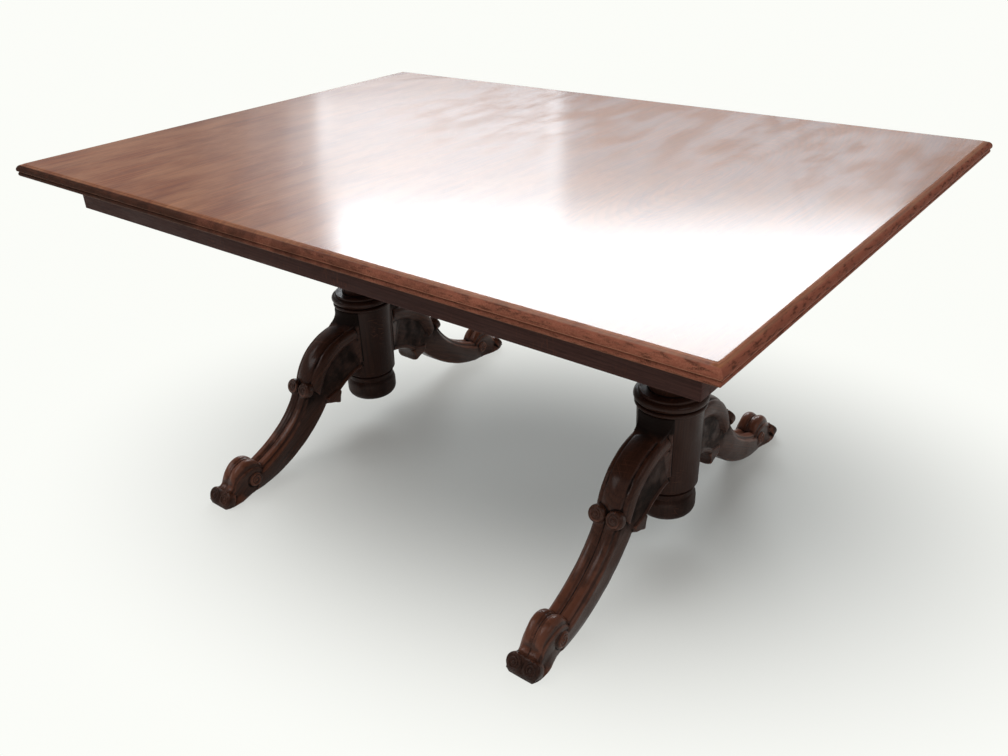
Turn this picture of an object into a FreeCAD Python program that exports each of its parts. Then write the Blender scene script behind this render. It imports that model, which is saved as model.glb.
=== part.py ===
import FreeCAD, Part
import math
import os

import Sketcher
from FreeCAD import Placement, Rotation, Vector

# Dining table on two pillar-and-scroll-leg pedestals, in millimetres.
# +X runs along the length of the top, +Y across it, +Z up, and the floor under the middle is the origin.

SIZES = {
    # Top: three boards with a moulded edge
    "table_height": 735,
    "top_length": 1547,
    "top_width": 1122,
    "top_thickness": 25,
    "middle_board_width": 515,
    "ovolo_radius": 11,
    "ovolo_quirk": 1.5,
    "edge_fillet": 2,
    "bead_quirk": 1.5,
    "bead_inset": 1.5,
    "tongue_width": 24,
    "tongue_thickness": 7,
    "tongue_stop": 60,
    # Frieze frame under the top
    "end_overhang": 66,
    "side_overhang": 89,
    "rail_height": 79,
    "rail_thickness": 24,
    "dovetail_lap": 7,
    "dovetail_root": 20,
    "dovetail_tip": 28,
    "dovetail_spacing": 40,
    "corner_block_side": 70,
    "corner_block_height": 62,
    "housing_depth": 8,
    "cross_rail_thickness": 26,
    "cross_rail_height": 60,
    "bearer_width": 120,
    "bearer_height": 44,
    # Turn buttons that hold the top down
    "button_length": 44,
    "button_width": 30,
    "button_height": 20,
    "button_tongue": 9,
    "button_tongue_height": 9,
    # (near and end offsets run from the table's middle, the far one from the frame's inner end)
    "button_near_offset": 205,
    "button_far_offset": 100,
    "button_end_offset": 220,
    "button_screw_radius": 2.4,
    "button_head_radius": 4.6,
    "button_head_face": 3.2,
    "button_head_height": 2.8,
    "button_screw_bite": 15,
    # Pedestal block with its coach screws and wedge
    "pedestal_offset": 421,
    "block_length": 300,
    "block_width": 180,
    "block_height": 32,
    "coach_screw_radius": 4.5,
    "coach_screw_head": 18,
    "coach_head_height": 6,
    "coach_screw_bite": 34,
    "coach_spacing_long": 220,
    "coach_spacing_wide": 80,
    "tenon_radius": 28,
    "wedge_width": 44,
    "wedge_top": 5,
    "wedge_tip": 2,
    "wedge_depth": 26,
    # Turned column
    "column_foot_height": 140,
    "column_foot_radius": 62,
    "leg_block_radius": 65,
    "leg_block_top": 314,
    "ring_root_radius": 66,
    "lower_ring_height": 8,
    "collar_root_radius": 64.5,
    "collar_cove": 3,
    "collar_height": 16,
    "collar_fillet": 6,
    "shaft_radius": 44,
    "shaft_swell": 8,
    "shaft_swell_height": 90,
    "neck_radius": 38,
    "neck_ring_height": 14,
    "neck_ring_drop": 50,
    "cap_radius": 62,
    "cap_height": 20,
    # Turned drop under the column
    "drop_bottom_height": 69,
    "drop_bottom_radius": 40,
    "drop_radius": 60,
    "drop_neck_radius": 56,
    "drop_neck_height": 6,
    "drop_shoulder_height": 8,
    "spigot_radius": 14,
    "spigot_length": 42,
    # Scroll leg: reach is measured out from the column's axis,
    # and for the ankle, the heel, the side scroll and the sole's end back from the toe
    "leg_reach": 496,
    "leg_top_height": 284,
    "leg_arch_height": 166,
    "root_proud": 3,
    "root_rise": 24,
    "root_sweep": 82,
    "arch_sweep": 24,
    "arch_rise": 18,
    "arch_run": 37,
    "knee_reach": 215,
    "knee_height": 184,
    "knee_sweep": 51,
    "shin_step": 11,
    "shin_sweep": 42,
    "ankle_reach": 111,
    "ankle_height": 54,
    "ankle_sweep": 100,
    "ankle_rise": 32,
    "heel_reach": 96,
    "heel_sweep": 72,
    "calf_sweep": 62,
    "calf_drop": 76,
    "nape_reach": 165,
    "nape_height": 122,
    "hollow_reach": 123,
    "hollow_height": 138,
    "spur_reach": 132,
    "spur_height": 106,
    "spur_width": 66,
    "hump_height": 81,
    "hump_tuck": 12,
    "heel_tuck": 3,
    "instep_height": 44,
    "toe_run": 40,
    "toe_end": 6,
    "toe_height": 22,
    "upper_leg_width": 78,
    "lower_leg_width": 58,
    "foot_width": 60,
    "face_round": 17,
    "groove_round": 4,
    "knee_volute_radius": 20,
    "knee_volute_spacing": 38,
    "knee_volute_tilt": 22,
    "knee_volute_proud": 18,
    "knee_volute_drop": 9,
    "toe_volute_radius": 17.5,
    "toe_volute_spacing": 36,
    "toe_volute_tilt": 32,
    "toe_volute_length": 16,
    "toe_volute_lift": 1,
    "side_scroll_radius": 16,
    "side_scroll_reach": 96,
    "side_scroll_height": 36,
    "side_scroll_proud": 3,
    "volute_eye_radius": 6,
    "volute_eye_proud": 3,
    "volute_rim": 4,
    "leg_tenon_width": 24,
    "leg_tenon_height": 88,
    "leg_tenon_depth": 30,
    # Fits
    "joint_clearance": 0.2,
    "turned_clearance": 0.3,
    "hole_depth_spare": 1,
}

PLANE_MARGIN = 5      # how far a cutting outline stands clear of the wood it trims
POINT_TOLERANCE = 0.01


class Size:
    """A length that carries its number and the sheet formula that it comes from."""

    def __init__(self, number, formula):
        self.number = number
        self.formula = formula

    def __add__(self, other):
        other = as_size(other)
        return Size(self.number + other.number, f"({self.formula} + {other.formula})")

    def __sub__(self, other):
        other = as_size(other)
        return Size(self.number - other.number, f"({self.formula} - {other.formula})")

    def __mul__(self, factor):
        return Size(self.number * factor, f"({self.formula} * {factor})")

    def __truediv__(self, divisor):
        return Size(self.number / divisor, f"({self.formula} / {divisor})")

    def __neg__(self):
        return self * -1


def as_size(value):
    """Let a plain number stand where a Size is asked for."""
    if isinstance(value, Size):
        return value
    return Size(float(value), f"({value})")


doc = FreeCAD.newDocument("pedestal_dining_table")
sheet = doc.addObject("Spreadsheet::Sheet", "Sizes")
for row, (alias, number) in enumerate(SIZES.items(), start=1):
    sheet.set(f"A{row}", alias)
    sheet.set(f"B{row}", str(number))
    sheet.setAlias(f"B{row}", alias)
doc.recompute()


def size(alias):
    """The Size that a cell of the sheet holds."""
    return Size(float(getattr(sheet, alias)), f"Sizes.{alias}")


def bind(item, **formulas):
    """Tie properties of an object to Sizes."""
    for name, value in formulas.items():
        item.setExpression(name, as_size(value).formula)


def place(item, x=0, y=0, z=0, turn=0):
    """Stand an object at a place made of Sizes, turned about +Z by some degrees."""
    item.Placement = Placement(Vector(), Rotation(Vector(0, 0, 1), turn))
    for letter, value in zip("xyz", (x, y, z)):
        item.setExpression(f"Placement.Base.{letter}", as_size(value).formula)
    return item


def new_body(label):
    """Start a piece."""
    body = doc.addObject("PartDesign::Body", label)
    body.Label = label
    return body


def spot(corner):
    """The point that an outline's corner has now."""
    return Vector(as_size(corner[0]).number, as_size(corner[1]).number, 0)


def arc_between(start, end, radius, bend):
    """Arc from start to end that bends left for bend 1 and right for bend -1."""
    chord = end - start
    rise = math.sqrt(max(radius ** 2 - chord.Length ** 2 / 4, 0))
    side = Vector(-chord.y, chord.x, 0).normalize() * (rise * bend)
    centre = (start + end) / 2 + side
    first, last = (start, end) if bend > 0 else (end, start)
    turns = [math.atan2(point.y - centre.y, point.x - centre.x) for point in (first, last)]
    return Part.ArcOfCircle(Part.Circle(centre, Vector(0, 0, 1), radius), *turns)


def draw_outline(drawing, corners):
    """Draw one closed outline; a corner (x, y, radius, bend) is reached by an arc, others by a line."""
    first_edge = drawing.GeometryCount
    ends = []
    for corner, following in zip(corners, corners[1:] + corners[:1]):
        if len(following) == 2:
            drawing.addGeometry(Part.LineSegment(spot(corner), spot(following)))
            ends.append((1, 2))
        else:
            radius, bend = following[2:]
            drawing.addGeometry(arc_between(spot(corner), spot(following), as_size(radius).number, bend))
            ends.append((1, 2) if bend > 0 else (2, 1))
    for index, corner in enumerate(corners):
        edge = first_edge + index
        before = first_edge + (index - 1) % len(corners)
        start = ends[index][0]
        drawing.addConstraint(Sketcher.Constraint("Coincident", before, ends[index - 1][1], edge, start))
        for kind, value in zip(("DistanceX", "DistanceY"), corner):
            number = drawing.addConstraint(
                Sketcher.Constraint(kind, -1, 1, edge, start, as_size(value).number))
            drawing.setExpression(f"Constraints[{number}]", as_size(value).formula)
        if len(corner) == 4:
            number = drawing.addConstraint(Sketcher.Constraint("Radius", before, as_size(corner[2]).number))
            drawing.setExpression(f"Constraints[{number}]", as_size(corner[2]).formula)


def draw_circle(drawing, x, y, radius):
    """Draw one circle."""
    edge = drawing.addGeometry(Part.Circle(spot((x, y)), Vector(0, 0, 1), as_size(radius).number))
    for kind, value in (("DistanceX", x), ("DistanceY", y)):
        number = drawing.addConstraint(Sketcher.Constraint(kind, -1, 1, edge, 3, as_size(value).number))
        drawing.setExpression(f"Constraints[{number}]", as_size(value).formula)
    number = drawing.addConstraint(Sketcher.Constraint("Radius", edge, as_size(radius).number))
    drawing.setExpression(f"Constraints[{number}]", as_size(radius).formula)


def sketch(body, name, plane, outlines=(), circles=(), offset=0):
    """Sketch outlines and circles on an origin plane of a body, moved along its normal by offset."""
    drawing = body.newObject("Sketcher::SketchObject", f"{body.Name}_{name}")
    origin_plane = next(item for item in body.Origin.OriginFeatures if item.Role == plane)
    drawing.AttachmentSupport = [(origin_plane, "")]
    drawing.MapMode = "FlatFace"
    drawing.setExpression("AttachmentOffset.Base.z", as_size(offset).formula)
    for corners in outlines:
        draw_outline(drawing, corners)
    for circle in circles:
        draw_circle(drawing, *circle)
    doc.recompute()
    return drawing


def rectangle(left, low, right, high):
    """Outline of a rectangle."""
    return [(left, low), (right, low), (right, high), (left, high)]


def pad(drawing, length, midplane=False):
    """Raise a sketch into wood along its normal."""
    body = drawing.getParentGeoFeatureGroup()
    feature = body.newObject("PartDesign::Pad", f"{drawing.Name}_pad")
    feature.Profile = drawing
    feature.Midplane = midplane
    bind(feature, Length=length)
    doc.recompute()
    return feature


def pocket(drawing, length, midplane=False, forward=False):
    """Cut a sketch out of its body against the normal, or along it, and make sure that wood goes."""
    body = drawing.getParentGeoFeatureGroup()
    before = body.Shape.Volume
    feature = body.newObject("PartDesign::Pocket", f"{drawing.Name}_pocket")
    feature.Profile = drawing
    feature.Midplane = midplane
    feature.Reversed = forward
    bind(feature, Length=length)
    doc.recompute()
    if body.Shape.Volume >= before:
        raise RuntimeError(f"{feature.Name} cuts nothing")
    return feature


def turned(body, name, corners):
    """Turn an outline of (radius, height) corners about the body's Z axis."""
    drawing = sketch(body, name, "XZ_Plane", [corners])
    feature = body.newObject("PartDesign::Revolution", f"{drawing.Name}_turning")
    feature.Profile = drawing
    axis = next(item for item in body.Origin.OriginFeatures if item.Role == "Z_Axis")
    feature.ReferenceAxis = (axis, [""])
    feature.Angle = 360
    doc.recompute()
    return feature


# Levels and half sizes that several pieces share
top_under = size("table_height") - size("top_thickness")
rail_under = top_under - size("rail_height")
frame_half_length = size("top_length") / 2 - size("end_overhang")
frame_half_width = size("top_width") / 2 - size("side_overhang")
inner_half_length = frame_half_length - size("rail_thickness")
inner_half_width = frame_half_width - size("rail_thickness")
bearer_under = top_under - size("bearer_height")
block_under = bearer_under - size("block_height")
clearance = size("joint_clearance")


# The top

def moulded_edge(reach, side=1):
    """Corners of the moulded edge from the underside up, with the edge's face at reach."""
    bead_radius = (size("top_thickness") - size("ovolo_quirk") - size("ovolo_radius")
                   - size("edge_fillet") - size("bead_quirk")) / 2
    bead_face = reach - size("bead_inset")
    bead_root = bead_face - bead_radius
    fillet_under = bead_radius * 2 + size("bead_quirk")
    ovolo_under = fillet_under + size("edge_fillet")
    ovolo_top = ovolo_under + size("ovolo_radius")
    flat_end = reach - size("ovolo_radius")
    return [
        (bead_root * side, 0),
        (bead_face * side, bead_radius, bead_radius, side),
        (bead_root * side, bead_radius * 2, bead_radius, side),
        (bead_root * side, fillet_under),
        (reach * side, fillet_under),
        (reach * side, ovolo_under),
        (flat_end * side, ovolo_top, size("ovolo_radius"), side),
        (flat_end * side, size("top_thickness")),
    ]


def edge_waste(side):
    """Outline of the wood that the moulding plane takes off a board's end, towards +Y or -Y."""
    reach = size("top_width") / 2
    contour = moulded_edge(reach, side)
    beyond = (reach + PLANE_MARGIN) * side
    above = size("top_thickness") + PLANE_MARGIN
    return ([(contour[0][0], -PLANE_MARGIN)] + contour
            + [(contour[-1][0], above), (beyond, above), (beyond, -PLANE_MARGIN)])


def button_offsets():
    """Distances along the long rails from the table's middle to the buttons on each side of it."""
    return [size("button_near_offset"), inner_half_length - size("button_far_offset")]


def button_places():
    """Where each button's screw stands, and the turn that points its tongue at the rail."""
    screw_inset = size("button_length") / 2
    along_side = inner_half_width - screw_inset
    along_end = inner_half_length - screw_inset
    places = []
    for offset in button_offsets():
        for across in (-1, 1):
            places.append((offset * across, -along_side, 0))
            places.append((offset * across, along_side, 180))
    for across in (-1, 1):
        places.append((along_end, size("button_end_offset") * across, 90))
        places.append((-along_end, size("button_end_offset") * across, 270))
    return places


def top_board(label, section, slots, x, turn=0):
    """One board of the top, from its section across the grain, with its tongue slots and screw holes."""
    body = new_body(label)
    pad(sketch(body, "section", "XZ_Plane", [section]), size("top_width"), midplane=True)
    waste = sketch(body, "edges", "YZ_Plane", [edge_waste(1), edge_waste(-1)])
    pocket(waste, size("top_length") * 2, midplane=True)
    slot_length = size("top_width") - size("tongue_stop") * 2 + clearance * 2
    pocket(sketch(body, "slots", "XZ_Plane", slots), slot_length, midplane=True)
    facing = 1 if turn == 0 else -1
    screws = [((px - x) * facing, py * facing, size("button_screw_radius") + clearance)
              for px, py, _ in button_places()]
    holes = sketch(body, "screw_holes", "XY_Plane", circles=screws)
    pocket(holes, size("button_screw_bite") + size("hole_depth_spare"), forward=True)
    return place(body, x=x, z=top_under, turn=turn)


def tongue_slot(face, side):
    """Slot in a board's joint face for half of a loose tongue."""
    depth = size("tongue_width") / 2 + size("hole_depth_spare")
    low = (size("top_thickness") - size("tongue_thickness")) / 2 - clearance
    high = (size("top_thickness") + size("tongue_thickness")) / 2 + clearance
    return rectangle(face - depth, low, face, high) if side > 0 else rectangle(face, low, face + depth, high)


half_middle = size("middle_board_width") / 2
end_board_width = size("top_length") / 2 - half_middle
end_section = [(0, 0)] + moulded_edge(end_board_width) + [(0, size("top_thickness"))]
middle_section = rectangle(-half_middle, 0, half_middle, size("top_thickness"))
nodes = [
    top_board("left_top_board", end_section, [tongue_slot(as_size(0), -1)], -half_middle, 180),
    top_board("middle_top_board", middle_section,
              [tongue_slot(half_middle, 1), tongue_slot(-half_middle, -1)], as_size(0)),
    top_board("right_top_board", end_section, [tongue_slot(as_size(0), -1)], half_middle),
]


def top_tongue(label, x):
    """Loose tongue glued into the slots of two neighbouring boards."""
    tongue = doc.addObject("Part::Box", label)
    length = size("top_width") - size("tongue_stop") * 2
    bind(tongue, Length=size("tongue_width"), Width=length, Height=size("tongue_thickness"))
    lift = (size("top_thickness") - size("tongue_thickness")) / 2
    return place(tongue, x=x - size("tongue_width") / 2, y=-length / 2, z=top_under + lift)


nodes += [top_tongue("left_top_tongue", -half_middle), top_tongue("right_top_tongue", half_middle)]


# The frieze frame

def tail_heights():
    """Middle heights of the two dovetails on a rail's end."""
    middle = size("rail_height") / 2
    return [middle - size("dovetail_spacing") / 2, middle + size("dovetail_spacing") / 2]


def end_rail(label, side):
    """Rail under one end of the top, with two dovetails at each of its ends."""
    tip = frame_half_width - size("dovetail_lap")

    def tails(direction):
        corners = []
        for middle in tail_heights():
            root, flare = size("dovetail_root") / 2, size("dovetail_tip") / 2
            corners += [(inner_half_width * direction, middle - root), (tip * direction, middle - flare),
                        (tip * direction, middle + flare), (inner_half_width * direction, middle + root)]
        return corners if direction > 0 else corners[::-1]

    top = size("rail_height")
    outline = ([(-inner_half_width, 0), (inner_half_width, 0)] + tails(1)
               + [(inner_half_width, top), (-inner_half_width, top)] + tails(-1))
    body = new_body(label)
    pad(sketch(body, "outline", "YZ_Plane", [outline]), size("rail_thickness"))
    mouths = [button_mouth(size("button_end_offset") * across) for across in (-1, 1)]
    pocket(sketch(body, "button_mouths", "YZ_Plane", mouths), mouth_depth(), forward=True)
    return place(body, x=inner_half_length * side, z=rail_under, turn=0 if side > 0 else 180)


def button_mouth(offset):
    """Mouth in a rail's inner face for a button's tongue, centred at offset along the rail."""
    half = size("button_width") / 2 + clearance
    high = size("rail_height") - size("button_height") + size("button_tongue_height") + clearance
    low = size("rail_height") - size("button_height") - clearance
    return rectangle(offset - half, low, offset + half, high)


def mouth_depth():
    """Depth of a button's mouth."""
    return size("button_tongue") + size("hole_depth_spare")


def long_rail(label, side):
    """Rail under one long side: sockets for the dovetails, housings for the cross pieces, button mouths."""
    body = new_body(label)
    thickness, top = size("rail_thickness"), size("rail_height")
    section = rectangle(0, 0, thickness, top)
    pad(sketch(body, "section", "YZ_Plane", [section]), frame_half_length * 2, midplane=True)
    sockets = []
    floor = size("dovetail_lap") - clearance
    for middle in tail_heights():
        root, flare = size("dovetail_root") / 2 + clearance, size("dovetail_tip") / 2 + clearance
        sockets.append([(thickness, middle - root), (thickness, middle + root),
                        (floor, middle + flare), (floor, middle - flare)])
    far_end = sketch(body, "far_sockets", "YZ_Plane", sockets, offset=frame_half_length)
    pocket(far_end, thickness + clearance)
    near_end = sketch(body, "near_sockets", "YZ_Plane", sockets, offset=-frame_half_length)
    pocket(near_end, thickness + clearance, forward=True)
    back = thickness - size("housing_depth")
    bearer_half = size("bearer_width") / 2 + clearance
    housings = [rectangle(offset - bearer_half, back, offset + bearer_half, thickness)
                for offset in (size("pedestal_offset"), -size("pedestal_offset"))]
    bearer_seats = sketch(body, "bearer_housings", "XY_Plane", housings, offset=top)
    pocket(bearer_seats, size("bearer_height") + clearance)
    cross_half = size("cross_rail_thickness") / 2 + clearance
    slot = [rectangle(-cross_half, back, cross_half, thickness)]
    cross_seat = sketch(body, "cross_housing", "XY_Plane", slot, offset=top)
    pocket(cross_seat, size("cross_rail_height") + clearance)
    mouths = [button_mouth(offset * across) for offset in button_offsets() for across in (-1, 1)]
    inner_face = sketch(body, "button_mouths", "XZ_Plane", mouths, offset=-thickness)
    pocket(inner_face, mouth_depth(), forward=True)
    return place(body, y=frame_half_width * side, z=rail_under, turn=0 if side < 0 else 180)


def corner_block(label, x_side, y_side, turn):
    """Three-cornered block glued inside a corner of the frame."""
    body = new_body(label)
    side = size("corner_block_side")
    corner = sketch(body, "corner", "XY_Plane", [[(0, 0), (side, 0), (0, side)]])
    pad(corner, size("corner_block_height"))
    return place(body, x=inner_half_length * x_side, y=inner_half_width * y_side,
                 z=top_under - size("corner_block_height"), turn=turn)


nodes += [
    long_rail("front_rail", -1),
    long_rail("back_rail", 1),
    end_rail("left_end_rail", -1),
    end_rail("right_end_rail", 1),
    corner_block("front_left_corner_block", -1, -1, 0),
    corner_block("front_right_corner_block", 1, -1, 90),
    corner_block("back_right_corner_block", 1, 1, 180),
    corner_block("back_left_corner_block", -1, 1, 270),
]


# Cross pieces of the frame

cross_half_length = inner_half_width + size("housing_depth") - clearance
cross_rail = doc.addObject("Part::Box", "middle_cross_rail")
bind(cross_rail, Length=size("cross_rail_thickness"), Width=cross_half_length * 2,
     Height=size("cross_rail_height"))
nodes.append(place(cross_rail, x=-size("cross_rail_thickness") / 2, y=-cross_half_length,
                   z=top_under - size("cross_rail_height")))


def coach_places():
    """Middles of a pedestal block's four coach screws, from the column's axis."""
    return [(size("coach_spacing_wide") / 2 * across, size("coach_spacing_long") / 2 * along)
            for across in (-1, 1) for along in (-1, 1)]


def bearer(label, x):
    """Heavy cross piece over a pedestal, bored for the coach screws."""
    body = new_body(label)
    half = size("bearer_width") / 2
    plan = rectangle(-half, -cross_half_length, half, cross_half_length)
    pad(sketch(body, "plan", "XY_Plane", [plan]), size("bearer_height"))
    bores = [(px, py, size("coach_screw_radius") + clearance) for px, py in coach_places()]
    drawing = sketch(body, "bores", "XY_Plane", circles=bores)
    pocket(drawing, size("coach_screw_bite") + size("hole_depth_spare"), forward=True)
    return place(body, x=x, z=bearer_under)


# Pedestals

def pedestal_block(label, x):
    """Block that carries the bearer, bored through for the column's tenon and the coach screws."""
    body = new_body(label)
    half_width, half_length = size("block_width") / 2, size("block_length") / 2
    plan = rectangle(-half_width, -half_length, half_width, half_length)
    pad(sketch(body, "plan", "XY_Plane", [plan]), size("block_height"))
    bores = [(px, py, size("coach_screw_radius") + clearance) for px, py in coach_places()]
    bores.append((0, 0, size("tenon_radius") + size("turned_clearance")))
    pocket(sketch(body, "bores", "XY_Plane", circles=bores), size("block_height"), forward=True)
    return place(body, x=x, z=block_under)


def block_screws(label, x):
    """Four square-headed coach screws up through a pedestal block into its bearer."""
    pieces = []
    head, height = size("coach_screw_head"), size("coach_head_height")
    for number, (px, py) in enumerate(coach_places()):
        cap = doc.addObject("Part::Box", f"{label}_head_{number}")
        bind(cap, Length=head, Width=head, Height=height)
        place(cap, x=px - head / 2, y=py - head / 2, z=-height)
        shank = doc.addObject("Part::Cylinder", f"{label}_shank_{number}")
        bind(shank, Radius=size("coach_screw_radius"),
             Height=size("block_height") + size("coach_screw_bite") + height)
        place(shank, x=px, y=py, z=-height)
        pieces += [cap, shank]
    screws = doc.addObject("Part::MultiFuse", label)
    screws.Shapes = pieces
    return place(screws, x=x, z=block_under)


def wedge_outline(spare):
    """Outline of the tenon's wedge, looking along it, grown by a spare on its two flanks."""
    top, low = block_under + size("block_height"), block_under + size("block_height") - size("wedge_depth")
    return [(-size("wedge_tip") / 2 - spare, low), (size("wedge_tip") / 2 + spare, low),
            (size("wedge_top") / 2 + spare, top), (-size("wedge_top") / 2 - spare, top)]


def tenon_wedge(label, x):
    """Wedge driven down into the column's tenon."""
    body = new_body(label)
    pad(sketch(body, "side", "XZ_Plane", [wedge_outline(0)]), size("wedge_width"), midplane=True)
    return place(body, x=x)


def column(label, x):
    """Turned column: plain leg block, ringed collar, swelling shaft, cap and a round tenon."""
    foot, block = size("column_foot_height"), size("leg_block_radius")
    ring_low = size("leg_block_top")
    ring_radius = size("lower_ring_height") / 2
    ring_high = ring_low + size("lower_ring_height")
    collar_low = ring_high + size("collar_cove")
    collar_radius = size("collar_height") / 2
    collar_high = collar_low + size("collar_height")
    shaft_low = collar_high + size("collar_fillet")
    shaft, swell = size("shaft_radius"), size("shaft_radius") + size("shaft_swell")
    swell_at = shaft_low + size("shaft_swell_height")
    neck, neck_ring = size("neck_radius"), size("neck_ring_height") / 2
    neck_low = block_under - size("cap_height") - size("neck_ring_drop")
    neck_high = neck_low + size("neck_ring_height")
    cap_low = block_under - size("cap_height")
    ring_root, collar_root = size("ring_root_radius"), size("collar_root_radius")
    corners = [
        (0, foot), (size("column_foot_radius"), foot), (block, ring_low), (ring_root, ring_low),
        (ring_root + ring_radius, ring_low + ring_radius, ring_radius, 1),
        (ring_root, ring_high, ring_radius, 1),
        (collar_root, ring_high), (collar_root, collar_low),
        (collar_root + collar_radius, collar_low + collar_radius, collar_radius, 1),
        (collar_root, collar_high, collar_radius, 1),
        (collar_root, shaft_low), (shaft, shaft_low), (swell, swell_at), (neck, neck_low),
        (neck + neck_ring, neck_low + neck_ring, neck_ring, 1), (neck, neck_high, neck_ring, 1),
        (neck, cap_low - size("cap_height")), (size("cap_radius"), cap_low),
        (size("cap_radius"), block_under), (size("tenon_radius"), block_under),
        (size("tenon_radius"), bearer_under), (0, bearer_under),
    ]
    body = new_body(label)
    turned(body, "profile", corners)
    half, deep = size("leg_tenon_width") / 2 + clearance, size("leg_tenon_depth") + size("hole_depth_spare")
    low, high = tenon_levels()
    mortise = rectangle(-half, low - clearance, half, high + clearance)
    wall = block - deep
    for name, side in (("front_mortise", 1), ("back_mortise", -1)):
        drawing = sketch(body, name, "XZ_Plane", [mortise], offset=wall * side)
        pocket(drawing, deep + PLANE_MARGIN, forward=side > 0)
    spigot = (0, 0, size("spigot_radius") + size("turned_clearance"))
    bore = sketch(body, "spigot_bore", "XY_Plane", circles=[spigot], offset=foot)
    pocket(bore, size("spigot_length") + size("hole_depth_spare"), forward=True)
    kerf = sketch(body, "wedge_kerf", "XZ_Plane", [wedge_outline(clearance)])
    pocket(kerf, size("wedge_width") + clearance * 2, midplane=True)
    return place(body, x=x)


def drop(label, x):
    """Turned drop that closes the column's foot, on a spigot."""
    top, low = size("column_foot_height"), size("drop_bottom_height")
    belly, neck = size("drop_radius"), size("drop_neck_radius")
    neck_low = top - size("drop_neck_height")
    bottom_round = belly - size("drop_bottom_radius")
    corners = [
        (0, low), (size("drop_bottom_radius"), low), (belly, low + bottom_round, bottom_round, 1),
        (belly, neck_low - size("drop_shoulder_height")), (neck, neck_low), (neck, top),
        (size("spigot_radius"), top), (size("spigot_radius"), top + size("spigot_length")),
        (0, top + size("spigot_length")),
    ]
    body = new_body(label)
    turned(body, "profile", corners)
    return place(body, x=x)


# Scroll legs

def tenon_levels():
    """Lowest and highest level of a leg's tenon."""
    middle = (size("leg_arch_height") + size("leg_top_height")) / 2
    return middle - size("leg_tenon_height") / 2, middle + size("leg_tenon_height") / 2


def amount(alias):
    """The number that a cell of the sheet holds."""
    return size(alias).number


def sweep_line(*poles):
    """Smooth curve in the leg's middle plane, from (reach, height) poles."""
    bend = Part.BezierCurve()
    bend.setPoles([Vector(0, -reach, height) for reach, height in poles])
    return bend.toShape()


def straight(start, end):
    """Straight edge in the leg's middle plane."""
    return Part.makeLine(Vector(0, -start[0], start[1]), Vector(0, -end[0], end[1]))


def slab(edges, low, high):
    """Wood between two places across the leg, with the outline that the edges make."""
    face = Part.Face(Part.Wire(edges))
    face.translate(Vector(low, 0, 0))
    return face.extrude(Vector(high - low, 0, 0))


def round_along(solid, contour, rounds):
    """Round the slab's long edges that follow a contour, given as {place across the leg: radius}."""
    middle = contour.valueAt((contour.FirstParameter + contour.LastParameter) / 2)
    for across, radius in rounds.items():
        corner = Part.Vertex(Vector(across, middle.y, middle.z))
        edges = [edge for edge in solid.Edges if edge.distToShape(corner)[0] < POINT_TOLERANCE]
        solid = solid.makeFillet(radius, edges)
    return solid


def reeded(edges, contour, width):
    """Pair of rounded reeds side by side, with a narrow groove between them."""
    half = slab(edges, 0, width / 2)
    half = round_along(half, contour, {width / 2: amount("face_round"), 0: amount("groove_round")})
    return half, half.mirror(Vector(), Vector(1, 0, 0))


def volute(radius, centre, axis, proud):
    """Round scroll end that stands proud of a face, with a rolled rim and a button in its eye."""
    axis = Vector(axis).normalize()
    disc = Part.makeCylinder(radius, proud, centre, axis)
    rim = [edge for edge in disc.Edges if (edge.CenterOfMass - centre).dot(axis) > proud - POINT_TOLERANCE]
    disc = disc.makeFillet(amount("volute_rim"), rim)
    eye = Part.makeCylinder(amount("volute_eye_radius"), proud + amount("volute_eye_proud"), centre, axis)
    return disc.fuse(eye)


def from_toe(alias):
    """Reach of a point that the sheet gives as a distance back from the toe."""
    return amount("leg_reach") - amount(alias)


def back_of_knee():
    """Point of the underside where it turns up into the spur."""
    return amount("nape_reach"), amount("nape_height")


def upper_leg():
    """Upper part, from its upright root on the column to the knee, with the spur behind the knee."""
    crown, arch = amount("leg_top_height"), amount("leg_arch_height")
    inside = amount("leg_block_radius") - amount("leg_tenon_depth")
    root_face, root_top = amount("leg_block_radius") + amount("root_proud"), crown + amount("root_rise")
    start, arch_end = (root_face, crown), (inside, arch)
    knee, knee_sweep = (amount("knee_reach"), amount("knee_height")), amount("knee_sweep")
    nape, hollow = back_of_knee(), (amount("hollow_reach"), amount("hollow_height"))
    outer = sweep_line(start, (root_face + amount("root_sweep"), crown),
                       (knee[0] - knee_sweep / 4, knee[1] + knee_sweep), knee)
    arch_line = sweep_line(hollow, (hollow[0] - amount("arch_sweep"), hollow[1] + amount("arch_rise")),
                           (inside + amount("arch_run"), arch), arch_end)
    edges = [outer, straight(knee, nape), straight(nape, hollow), arch_line,
             straight(arch_end, (inside, root_top)), straight((inside, root_top), (root_face, root_top)),
             straight((root_face, root_top), start)]
    half, face_round = amount("upper_leg_width") / 2, amount("face_round")
    block = round_along(slab(edges, -half, half), outer, {half: face_round, -half: face_round})
    tip = (amount("spur_reach"), amount("spur_height"))
    spur_edges = [straight(nape, tip), straight(tip, hollow), straight(hollow, nape)]
    spur_half = amount("spur_width") / 2
    return [block, slab(spur_edges, -spur_half, spur_half)]


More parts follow.
